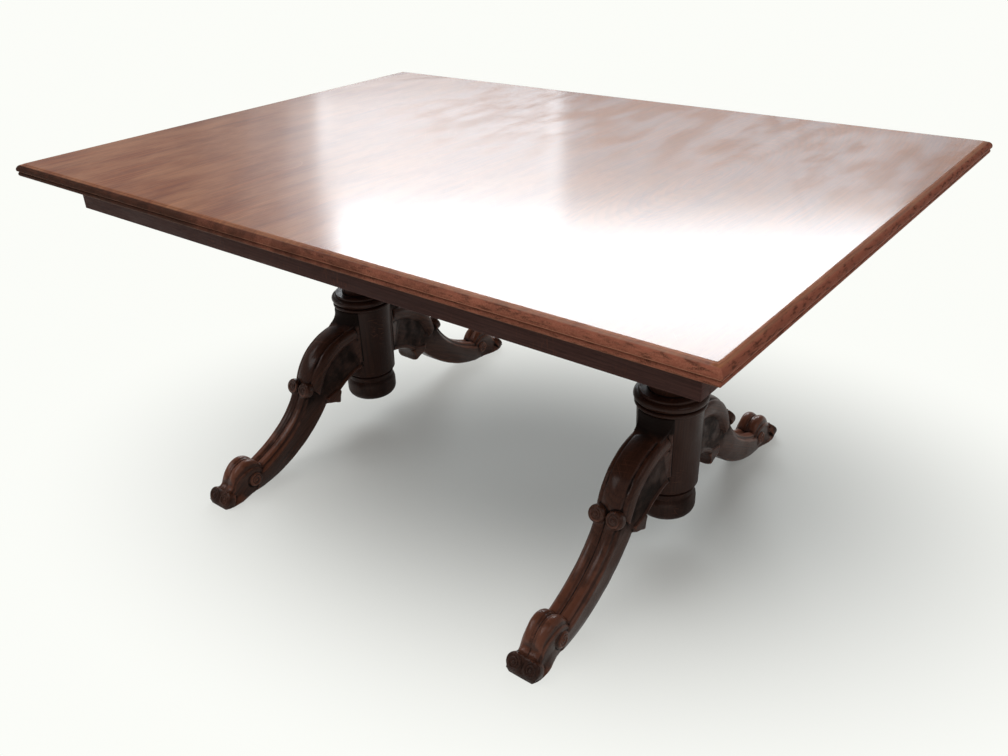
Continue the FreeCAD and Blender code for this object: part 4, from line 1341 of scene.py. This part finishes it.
@dataclass(frozen=True)
class ScrollLeg:
    """Carved leg: a broad upper scroll, a reeded shin, and a humped foot that ends in volutes.

    Curves lie in the leg's middle plane as (reach from the column's axis, height).
    """

    # Rows of (height, half width, front face's reach) of the upright root, and of the cove above the crown
    root_rows: tuple[Place, ...] = (
        (0.185, 0.0375, 0.0680), (0.3050, 0.0380, 0.0695), (0.3138, 0.0380, 0.0690))
    cove_rows: tuple[Place, ...] = (
        (0.2720, 0.0290, 0.0980), (0.2800, 0.0305, 0.0915), (0.2840, 0.0320, 0.0840),
        (0.2885, 0.0335, 0.0770), (0.2950, 0.0350, 0.0720), (0.3020, 0.0360, 0.0690))
    # Curves of the middle plane by their four poles, and two points behind the knee
    crown: tuple[Point, ...] = ((0.068, 0.284), (0.150, 0.284), (0.2025, 0.235), (0.215, 0.184))
    arch: tuple[Point, ...] = ((0.035, 0.166), (0.072, 0.166), (0.099, 0.156), (0.123, 0.138))
    nape: Point = (0.165, 0.122)
    spur: Point = (0.132, 0.106)
    shin: tuple[Point, ...] = ((0.226, 0.184), (0.2365, 0.142), (0.285, 0.086), (0.385, 0.054))
    calf: tuple[Point, ...] = ((0.165, 0.122), (0.227, 0.046), (0.328, 0.000), (0.400, 0.000))
    hump: tuple[Point, ...] = ((0.373, 0.042), (0.379, 0.0960), (0.441, 0.0940), (0.456, 0.045))
    fall: tuple[Point, ...] = ((0.456, 0.045), (0.459, 0.0370), (0.465, 0.0345), (0.473, 0.0345))
    toe: tuple[Point, ...] = ((0.473, 0.0345), (0.478, 0.0265), (0.484, 0.0170), (0.489, 0.009))
    # Rows of (reach, half width at the crease beside the reed, half width at the sole)
    foot_plan: tuple[Place, ...] = (
        (0.373, 0.0260, 0.0215), (0.395, 0.0280, 0.0225), (0.412, 0.0290, 0.0240),
        (0.427, 0.0285, 0.0280), (0.440, 0.0265, 0.0320), (0.452, 0.0250, 0.0340),
        (0.466, 0.0260, 0.0340), (0.478, 0.0310, 0.0320), (0.489, 0.0325, 0.0270))
    # Half widths, and the radius of the roll along the shin
    upper_half: float = 0.039
    knee_half: float = 0.0355
    shin_half: float = 0.029
    spur_half: float = 0.033
    side_roll: float = 0.0068
    # Middle of each scroll end as (across, reach, height), with its tilt in degrees
    knee_volute: Place = (0.019, 0.214, 0.174)
    knee_tilt: float = 22.0
    toe_volute: Place = (0.018, 0.4662, 0.0112)
    toe_tilt: float = 32.0
    side_scroll: Place = (0.018, 0.401, 0.034)
    # Radius and depth of the drum of each scroll end
    knee_drum: Point = (0.0180, 0.0165)
    toe_drum: Point = (0.0176, 0.0195)
    side_drum: Point = (0.0170, 0.0130)
    # The column's round that the leg stands against, where dirt and wear lie, and where painted light and
    # painted shade lie
    block_radius: float = 0.0635
    joint_soil: float = 0.005
    toe_soil: float = 0.42
    side_shade: float = 0.50
    root_shade: float = 0.72
    rub_and_light_height: float = 0.190
    toe_wear: float = 0.478
    toe_fade: float = 0.016
    tread_wear_and_light: float = 0.75
    ridge: Point = (0.0009, 0.0030)
    ridge_rounds: tuple[int, int] = (5, 24)
    # The skin and its tool marks
    voxel: float = 0.00154
    softening: float = 0.9
    tool_mark: float = 0.00035
    tool_density: float = 38.0
    sole_band: float = 0.0010
    scroll_turns: float = 1.4

    @staticmethod
    def reed(middle: float, inner: float, outer: float, inner_drop: float, outer_drop: float) -> list[Point]:
        """Crest of a reed, drawn as two quarters of an oval.

        Args:
            middle: place of the crest across the leg.
            inner: width of the quarter towards the leg's middle.
            outer: width of the quarter towards the leg's side.
            inner_drop: fall of the inner quarter.
            outer_drop: fall of the outer quarter.

        Returns:
            Points of (across, depth) from the inner end to the outer end.
        """
        turns = [math.radians(step * 15) for step in range(7)]
        inside = [(middle - inner * math.sin(turn), inner_drop * (1 - math.cos(turn)))
                  for turn in turns[:0:-1]]
        outside = [(middle + outer * math.sin(turn), outer_drop * (1 - math.cos(turn)))
                   for turn in turns]
        return inside + outside

    def upper_section(self, thick: float, share: float) -> list[Point]:
        """Half section of the upper leg: a broad convex face, a deep roll beside it, and a plain side.

        Args:
            thick: the leg's depth at this station.
            share: share of the run from the root to the knee.

        Returns:
            Points of (across, depth) from the middle of the face to the middle of the underside.
        """
        half = mix(self.upper_half, self.knee_half, share)
        edge, drop, roll, rim = half - 0.0155, 0.0045, 0.0105, 0.0050
        radius = (edge ** 2 + drop ** 2) / (2 * drop)
        reach = math.degrees(math.asin(edge / radius))
        rolled = arc((0, 0), roll, -100, 62, 13)
        sunk = min(0.15 + share / 0.20, 1)
        return [
            # The face, and the quirk beside it
            *arc((0, radius), radius, -90, -90 + reach, 8),
            (edge + 0.0008, drop + 0.0050), (edge + 0.0026, drop + 0.0066),
            # The roll
            *((half - roll + across, drop + 0.0196 + depth * 1.60) for across, depth in rolled),
            # The sunk side, and the rim along its lower edge
            (half - 0.0100 * sunk, drop + 0.0400), (half - 0.0090 * sunk, drop + 0.0425),
            (half - 0.0078 * sunk, thick * 0.66), (half - 0.0076 * sunk, thick - 0.0150),
            *arc((half - rim - 0.0030, thick - 0.0085), rim, -60, 70, 6),
            (half - 0.013, thick), (0, thick),
        ]

    def shin_section(self, thick: float, share: float) -> list[Point]:
        """Half section of the shin: a bead and a reed beside the groove, then a roll at the side.

        Args:
            thick: the shin's depth at this station.
            share: share of its run, which leaves the section as it is.

        Returns:
            Points of (across, depth) from the groove to the middle of the underside.
        """
        half, roll, stretch = self.shin_half, self.side_roll, 1.4
        rolled = arc((0, 0), roll, -80, 20, 8)
        return [
            # The groove, the bead, and the reed
            (0, 0.0080), (0.0010, 0.0060),
            *arc((0.0030, 0.0056), 0.0016, 200, 340, 4),
            *self.reed(0.0136, 0.0086, 0.0092, 0.0048, 0.0078),
            # The quirk, and the roll at the side
            (half - roll + 0.0008, 0.0104),
            *((half - roll + across, 0.0206 + depth * stretch) for across, depth in rolled),
            # The lower side, rounded under
            (half - 0.0012, thick * 0.74), (half - 0.0034, thick - 0.0050),
            (half - 0.0066, thick - 0.0014), (half - 0.010, thick), (0, thick),
        ]

    def foot_section(self, thick: float, share: float) -> list[Point]:
        """Half section of the foot: bead and reed run over the hump, and the side flares to the sole.

        Args:
            thick: the foot's height at this station.
            share: share of the run from the hump to the toe.

        Returns:
            Points of (across, depth) from the groove to the middle of the sole.
        """
        reaches, creases, soles = zip(*self.foot_plan)
        half = float(np.interp(self.over_foot(share).x, reaches, creases))
        sole = float(np.interp(self.over_foot(share).x, reaches, soles))
        deep = min(thick / 0.080, 1)
        crest, crease = half * 0.47, half - 0.0040
        side = mix(0.0240 * deep, thick, 0.5)
        return [
            # The groove, the bead, and the reed
            (0, 0.0068 * deep), (0.0010, 0.0050 * deep),
            *((across, depth * deep) for across, depth in arc((0.0030, 0.0046), 0.0016, 200, 340, 4)),
            *self.reed(crest, crest - 0.0050, crease - crest, 0.0040 * deep, 0.0130 * deep),
            # The crease, and the side down to the sole
            (crease + 0.0002, 0.0158 * deep), (half - 0.0012, 0.0180 * deep), (half, 0.0240 * deep),
            (mix(half, sole, 0.45) - 0.0024, side),
            (sole, thick - min(0.0050, thick * 0.3)), (sole - 0.0006, thick - 0.0008),
            (sole - 0.0020, thick), (0, thick),
        ]

    @staticmethod
    def sections(outer: Callable[[float], Vector], inner: Callable[[float], Vector],
                 section: Callable[[float, float], list[Point]],
                 stations: Sequence[float]) -> list[list[Vector]]:
        """Stand half sections along two contours.

        Args:
            outer: the leg's face at a share of its run.
            inner: its underside at the same share.
            section: half section for a thickness and a share.
            stations: shares to stand sections at.

        Returns:
            A closed section at each station.
        """
        loops = []
        for share in stations:
            crown, under = outer(share), inner(share)
            thick = (under - crown).length
            down = (under - crown) / thick
            right = [(across, crown + down * depth) for across, depth in section(thick, share)]
            left = [(-across, spot) for across, spot in right[-2:0:-1]]
            loops.append([Vector((across, -spot.x, spot.y)) for across, spot in right + left])
        return loops

    def under_upper(self, share: float) -> Vector:
        """Underside of the upper leg: the arch, then the short rise behind the knee.

        Args:
            share: share of the run from the root to the knee.

        Returns:
            The point of (reach, height).
        """
        turn = 0.82
        if share <= turn:
            return cubic(self.arch, share / turn)
        return Vector(self.arch[-1]).lerp(Vector(self.nape), (share - turn) / (1 - turn))

    def over_foot(self, share: float) -> Vector:
        """Top of the foot: the hump, the fall behind the toe, and the slope of the toe's face.

        Args:
            share: share of the run from the hump to the toe.

        Returns:
            The point of (reach, height).
        """
        hump_end, fall_end = 0.70, 0.86
        if share <= hump_end:
            return cubic(self.hump, share / hump_end)
        if share <= fall_end:
            return cubic(self.fall, (share - hump_end) / (fall_end - hump_end))
        return cubic(self.toe, (share - fall_end) / (1 - fall_end))

    @staticmethod
    def drum(bm: BMesh, radius: float, depth: float, stand: Matrix) -> None:
        """Rough out the drum of a scroll end.

        Args:
            bm: the leg's mesh.
            radius: the drum's radius.
            depth: height of the scroll over its base.
            stand: where the base and the axis go.
        """
        rim = radius * 0.25
        profile = [(0, 0), (radius * 0.96, 0), (radius, depth * 0.5),
                   *arc((radius - rim, depth - rim), rim, 0, 80, 5), (radius * 0.6, depth - rim * 0.10),
                   (0, depth)]
        turned(bm, profile, 40, stand)

    def scroll(self, bm: BMesh, radius: float, depth: float, hand: int, stand: Matrix) -> None:
        """Carve the roll of a scroll end, which winds in to a button eye.

        Args:
            bm: the leg's mesh.
            radius: the drum's radius.
            depth: height of the drum over its base.
            hand: 1 or -1, the way that the roll winds.
            stand: where the base and the axis go.
        """
        thick, thin, eye = radius * 0.17, radius * 0.10, radius * 0.26
        loops = []
        for share in shares(72):
            angle = hand * share * self.scroll_turns * math.tau + math.radians(90)
            out = Vector((math.cos(angle), math.sin(angle), 0))
            level = mix(depth - radius * 0.10, depth - radius * 0.04, share)
            middle = out * mix(radius - thick * 1.1, eye + thin * 0.8, share) + Vector((0, 0, level))
            width = mix(thick, thin, share)
            round_it = arc((0, 0), width, 0, 330, 11)
            loops.append([stand @ (middle + out * away + Vector((0, 0, rise))) for away, rise in round_it])
        solid_loft(bm, loops)
        button = arc((0, depth - eye * 0.55), eye, 0, 90, 8)
        turned(bm, [(0, depth * 0.5), (eye, depth * 0.5), *button[:-1], (0, button[-1][1])], 28, stand)

    def scroll_ends(self) -> list[tuple[float, float, int, Matrix]]:
        """Radius, depth, hand and stand of the scroll ends at the knee, the toe and the foot's sides.

        Returns:
            One row for each scroll end.
        """
        knee, toe = math.radians(self.knee_tilt), math.radians(self.toe_tilt)
        found = []
        for hand in (-1, 1):
            ends = ((self.knee_volute, self.knee_drum, Vector((0, -math.cos(knee), math.sin(knee)))),
                    (self.toe_volute, self.toe_drum, Vector((0, -math.cos(toe), math.sin(toe)))),
                    (self.side_scroll, self.side_drum, Vector((hand, 0, 0))))
            for (across, reach, height), (radius, depth), axis in ends:
                turn = axis.to_track_quat("Z", "Y").to_matrix().to_4x4()
                stand = Matrix.Translation((across * hand, -reach, height)) @ turn
                found.append((radius, depth, hand, stand))
        return found

    def upright(self, rows: Sequence[Place]) -> list[list[Vector]]:
        """Sections of a slab whose front face follows the column's round, from inside the column outwards.

        Args:
            rows: height, half width and front face's reach of each section.

        Returns:
            The sections from the lowest up.
        """
        inside = self.block_radius - 0.024
        loops = []
        for height, half, face in rows:
            front = [(across, math.sqrt(face ** 2 - across ** 2)) for across in shares(14, -half, half)]
            loops.append([Vector((across, -reach, height))
                          for across, reach in [(-half, inside), *front, (half, inside)]])
        return loops

    def behind_knee(self, bm: BMesh) -> None:
        """Carve the blunt hooked spur behind the knee.

        Args:
            bm: the leg's mesh.
        """
        nape, tip, hollow = Vector(self.nape), Vector(self.spur), Vector(self.arch[-1])
        hook = [nape + Vector((0.014, 0.016)), nape + Vector((0.006, -0.002)),
                nape.lerp(tip, 0.5) - Vector((0.0, 0.001)), tip + Vector((0.005, 0.0008)), tip,
                tip + Vector((-0.0016, 0.006)), tip + Vector((-0.0026, 0.015)),
                hollow + Vector((0.003, -0.007)), hollow, hollow + Vector((0.014, 0.010))]
        middle = sum(hook, Vector((0, 0))) / len(hook)
        loops = []
        for share in shares(10, -1, 1):
            shrink = 1 - 0.22 * max(abs(share) - 0.75, 0) / 0.25
            loops.append([Vector((share * self.spur_half, -spot.x, spot.y))
                          for spot in (middle + (corner - middle) * shrink for corner in hook)])
        solid_loft(bm, loops)

    def shells(self) -> BMesh:
        """Rough out the overlapping parts of one leg, pointing along -Y.

        Returns:
            The parts in one mesh.
        """
        bm = bmesh.new()
        solid_loft(bm, self.sections(lambda share: cubic(self.crown, share), self.under_upper,
                                     self.upper_section, shares(44)))
        solid_loft(bm, self.upright(self.root_rows))
        solid_loft(bm, self.upright(self.cove_rows))
        tuck = Vector((0.030, -0.012))
        lead_in = self.sections(lambda share: cubic(self.shin, 0) - tuck,
                                lambda share: cubic(self.calf, 0) - tuck * 0.4, self.shin_section, [0])
        solid_loft(bm, lead_in + self.sections(lambda share: cubic(self.shin, share),
                                               lambda share: cubic(self.calf, share),
                                               self.shin_section, shares(56)))
        solid_loft(bm, self.sections(self.over_foot, lambda share: Vector((self.over_foot(share).x, 0)),
                                     self.foot_section, shares(60)))
        self.behind_knee(bm)
        for radius, depth, _, stand in self.scroll_ends():
            self.drum(bm, radius, depth, stand)
        bmesh.ops.recalc_face_normals(bm, faces=bm.faces)
        return bm

    def skin(self) -> bpy.types.Mesh:
        """Blend the rough parts into one skin with small tool marks and a flat sole.

        Returns:
            The skin.
        """
        rough = bpy.data.meshes.new("rough_leg")
        bm = self.shells()
        bm.to_mesh(rough)
        bm.free()
        block = bpy.data.objects.new("rough_leg", rough)
        bpy.context.scene.collection.objects.link(block)
        remesh = block.modifiers.new("skin", "REMESH")
        remesh.mode = "VOXEL"
        remesh.voxel_size = self.voxel
        mesh = bpy.data.meshes.new_from_object(block.evaluated_get(bpy.context.evaluated_depsgraph_get()))
        bpy.data.objects.remove(block)
        bpy.data.meshes.remove(rough)
        places, normals, ends = mesh_numbers(mesh)
        places = places + (relaxed(places, ends, 1) - places) * self.softening
        wander = [noise.noise(Vector(place) * self.tool_density) for place in places]
        places += normals * np.array(wander)[:, None] * self.tool_mark
        places[:, 2] = np.where(places[:, 2] < self.sole_band, 0.0, places[:, 2])
        mesh.vertices.foreach_set("co", places.astype(np.float32).ravel())
        return mesh

    def age(self, mesh: bpy.types.Mesh) -> None:
        """Mark where the leg is rubbed and painted lighter, and where dirt and painted shade lie in hollows,
        joints and on sheltered faces.

        Args:
            mesh: the carved leg.
        """
        rub, recess = wear_of(mesh, *self.ridge, self.ridge_rounds)
        places, normals, _ = mesh_numbers(mesh)
        across, reach, height = np.abs(places[:, 0]), -places[:, 1], places[:, 2]
        # Rubbed and painted lighter: the ridges, more so low on the leg, and what faces up low on the leg,
        # with tread wear and painted light, but hardly the toe
        low = np.clip((self.rub_and_light_height - height) / self.rub_and_light_height, 0, 1)
        behind_toe = np.clip((self.toe_wear - reach) / self.toe_fade, 0.15, 1)
        facing_up = np.clip(normals[:, 2] * 1.6, 0, 1)
        ridges = rub * (0.30 + 0.95 * np.sqrt(low)) + self.tread_wear_and_light * low * facing_up
        write_mask(mesh, "rub", ridges * behind_toe)
        # Dirt and painted shade: dirt in the joint at the column and on the toe, painted shade on the sunk
        # sides and at the top of the root under the collar, and both in the hollows
        gap = np.hypot(places[:, 0], reach) - self.block_radius
        flank = np.where(height > self.nape[1], self.upper_half - 0.005, self.shin_half - 0.0025)
        sunk = np.clip((np.abs(normals[:, 0]) - 0.6) / 0.25, 0, 1) * np.clip((flank - across) / 0.0015, 0, 1)
        sunk *= np.clip((height - self.nape[1] + 0.03) / 0.06, 0.3, 1) * (reach < self.hump[0][0])
        above = np.clip((height - self.crown[0][1] + 0.022) / 0.028, 0, 1) ** 1.5
        for mask in (1 - gap / self.joint_soil, self.toe_soil * (1 - behind_toe), self.side_shade * sunk,
                     self.root_shade * above):
            recess = np.maximum(recess, mask)
        write_mask(mesh, "recess", recess)

    def carved(self) -> bpy.types.Mesh:
        """Carve one leg, pointing along -Y, with its scroll ends and its wear.

        Returns:
            The leg's mesh.
        """
        mesh = self.skin()
        bm = bmesh.new()
        for radius, depth, hand, stand in self.scroll_ends():
            self.scroll(bm, radius, depth, hand, stand)
        bmesh.ops.recalc_face_normals(bm, faces=bm.faces)
        bm.from_mesh(mesh)
        bm.to_mesh(mesh)
        bm.free()
        mesh.update()
        self.age(mesh)
        mesh.shade_smooth()
        return mesh

    def build(self, effects: Effects) -> None:
        """Carve one leg and stand copies of it at both columns, front and back.

        Args:
            effects: the shared node groups.
        """
        polish = DarkPolish("carved_polish", Grain.DOWN_THE_LEG, mirrored=True).material(effects)
        pattern = self.carved()
        for side in Side:
            low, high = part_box(f"{side.word}_column")
            column = Matrix.Translation(((low.x + high.x) / 2, 0, 0))
            for facing in Facing:
                mesh = pattern.copy()
                turn = 0 if facing is Facing.FRONT else math.pi
                mesh.transform(column @ Matrix.Rotation(turn, 4, "Z"))
                node = f"{side.word}_{facing.word}_leg"
                add_piece(f"carved_{node}", mesh, node, polish)
        bpy.data.meshes.remove(pattern)


@dataclass(frozen=True)
class HiddenWork:
    """Pieces under the top that keep their CAD shape: bearers, blocks, buttons, tongues and screws."""

    screw_word: str = "screws"

    def dress(self, effects: Effects) -> None:
        """Give every CAD node its timber or steel, which shows where no new piece replaces it.

        Args:
            effects: the shared node groups.
        """
        timber = BareTimber().material(effects)
        steel = AgedSteel().material(effects)
        for name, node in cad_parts.items():
            finish = steel if name.endswith(self.screw_word) else timber
            for index in range(len(node.data.materials)):
                node.data.materials[index] = finish
        log.info("hidden work dressed")


# The studio

@dataclass(frozen=True)
class Lamp:
    """One soft panel of light."""

    name: str
    place: Place
    target: Place
    width: float
    height: float
    radiance: float
    tint: tuple[float, float, float] = (1.0, 1.0, 1.0)

    def build(self) -> None:
        """Hang the panel."""
        panel = bpy.data.lights.new(self.name, "AREA")
        panel.shape = "RECTANGLE"
        panel.size, panel.size_y = self.width, self.height
        panel.energy = self.radiance * math.pi * self.width * self.height
        panel.color = self.tint
        lamp = bpy.data.objects.new(self.name, panel)
        lamp.location = self.place
        aim = Vector(self.target) - Vector(self.place)
        lamp.rotation_euler = aim.to_track_quat("-Z", "Y").to_euler()
        lamp.visible_camera = False
        bpy.context.scene.collection.objects.link(lamp)


@dataclass(frozen=True)
class Studio:
    """Pale floor, soft light and a camera at the photograph's angle."""

    floor_size: float = 40.0
    shaded_floor_tone: Colour = (0.55, 0.553, 0.53, 1.0)
    floor_bounce: Colour = (0.74, 0.745, 0.72, 1.0)
    backdrop: Colour = (0.97, 0.98, 0.94, 1.0)
    shadow_place: Place = (0.09, 0.07, 0.0)
    shadow_turn: float = -20.0
    shadow_squeeze: float = 1.48
    fade_start: float = 0.15
    fade_end: float = 1.35
    world_level: float = 0.30
    camera_place: Place = (1.137587, -1.374093, 1.203127)
    camera_turn: Place = (61.4811, 2.0052, 38.2487)
    lens: float = 32.852
    sensor: float = 36.0

    def floor(self) -> None:
        """Lay the floor, with a painted shade that deepens the table's shadow."""
        bm = bmesh.new()
        bmesh.ops.create_grid(bm, x_segments=1, y_segments=1, size=self.floor_size / 2)
        mesh = bpy.data.meshes.new("floor")
        bm.to_mesh(mesh)
        bm.free()
        material, graph, shader = new_material("pale_floor")
        spot = graph.add("ShaderNodeTexCoord").outputs["Object"]
        offset = graph.add("ShaderNodeVectorMath", {0: spot, 1: self.shadow_place}, operation="SUBTRACT")
        oval = graph.spread(offset.outputs[0], (1.0, self.shadow_squeeze, 1.0), (0.0, 0.0, self.shadow_turn))
        away = graph.add("ShaderNodeVectorMath", {0: oval}, operation="LENGTH").outputs["Value"]
        # Painted shade: the camera and reflections see a darker tone than the one that light bounces off,
        # which deepens the table's shadow
        path = graph.add("ShaderNodeLightPath").outputs
        seen = graph.calc("MAXIMUM", path["Is Camera Ray"],
                          graph.calc("MAXIMUM", path["Is Glossy Ray"], path["Is Transmission Ray"]))
        graph.feed(shader, {"Base Color": graph.blend(seen, self.floor_bounce, self.shaded_floor_tone),
                            "Roughness": 0.9, "Specular IOR Level": 0.0})
        # Away from the table's shadow and its painted shade, past a soft oval, the floor fades into the
        # backdrop
        white = graph.add("ShaderNodeEmission", {"Color": self.backdrop, "Strength": 1.0})
        fade = graph.times(graph.fade(away, self.fade_start, self.fade_end), seen)
        blend = graph.add("ShaderNodeMixShader", {0: fade, 1: shader.outputs[0], 2: white.outputs[0]})
        graph.feed(graph.tree.nodes["Material Output"], {"Surface": blend.outputs[0]})
        mesh.materials.append(material)
        floor = bpy.data.objects.new("floor", mesh)
        bpy.context.scene.collection.objects.link(floor)

    def light(self) -> None:
        """Set the world and hang the panels."""
        world = bpy.data.worlds.new("studio_world")
        world.use_nodes = True
        sky = world.node_tree.nodes["Background"].inputs
        sky["Color"].default_value = (1.0, 1.0, 1.0, 1.0)
        sky["Strength"].default_value = self.world_level
        bpy.context.scene.world = world
        daylight = (0.90, 0.96, 1.0)
        lamps = (
            Lamp("low_left_window", (-5.66, 5.93, 3.02), (-1.54, -0.93, 1.005), 2.7, 1.75, 2.5, daylight),
            Lamp("low_right_window", (-2.66, 7.74, 2.75), (1.46, 0.88, 0.735), 4.6, 1.0, 1.15, daylight),
            Lamp("high_window", (-4.08, 6.88, 5.17), (0.04, 0.02, 0.735), 6.6, 2.9, 9.5, daylight),
            Lamp("near_curtain", (-7.13, 5.05, 4.20), (-3.01, -1.81, -0.235), 0.5, 4.2, 1.0, daylight),
            Lamp("middle_curtain", (-7.56, 4.79, 4.20), (-3.44, -2.07, -0.235), 0.5, 4.2, 0.40, daylight),
            Lamp("far_curtain", (-7.99, 4.53, 4.20), (-3.87, -2.33, -0.235), 0.5, 4.2, 0.12, daylight),
            Lamp("side_window", (-1.7, -1.75, 2.25), (0.0, -0.3, 0.1), 2.4, 1.2, 2.6),
            Lamp("ceiling", (-1.0, -0.6, 3.4), (-0.2, 0.0, 0.0), 3.2, 2.6, 1.5),
            Lamp("right_fill", (2.4, -0.6, 2.3), (0.7, 0.0, 0.7), 1.6, 1.2, 1.2),
        )
        for lamp in lamps:
            lamp.build()

    def camera(self) -> None:
        """Stand the camera."""
        lens = bpy.data.cameras.new("camera")
        lens.sensor_fit = "HORIZONTAL"
        lens.sensor_width = self.sensor
        lens.lens = self.lens
        lens.clip_end = 100.0
        stand = bpy.data.objects.new("camera", lens)
        stand.location = self.camera_place
        stand.rotation_euler = tuple(math.radians(angle) for angle in self.camera_turn)
        bpy.context.scene.collection.objects.link(stand)
        bpy.context.scene.camera = stand

    def build(self) -> None:
        """Set up the whole studio."""
        self.floor()
        self.light()
        self.camera()
        bpy.context.scene.view_settings.view_transform = "Standard"


def main() -> None:
    """Build the table's sub-assemblies in order, then the studio."""
    logging.basicConfig(level=logging.INFO, format="%(message)s")
    effects = Effects.build()
    HiddenWork().dress(effects)
    TableTop().build(effects)
    FriezeFrame().build(effects)
    TurnedColumn().build(effects)
    ScrollLeg().build(effects)
    Studio().build()


if __name__ == "__main__":
    main()
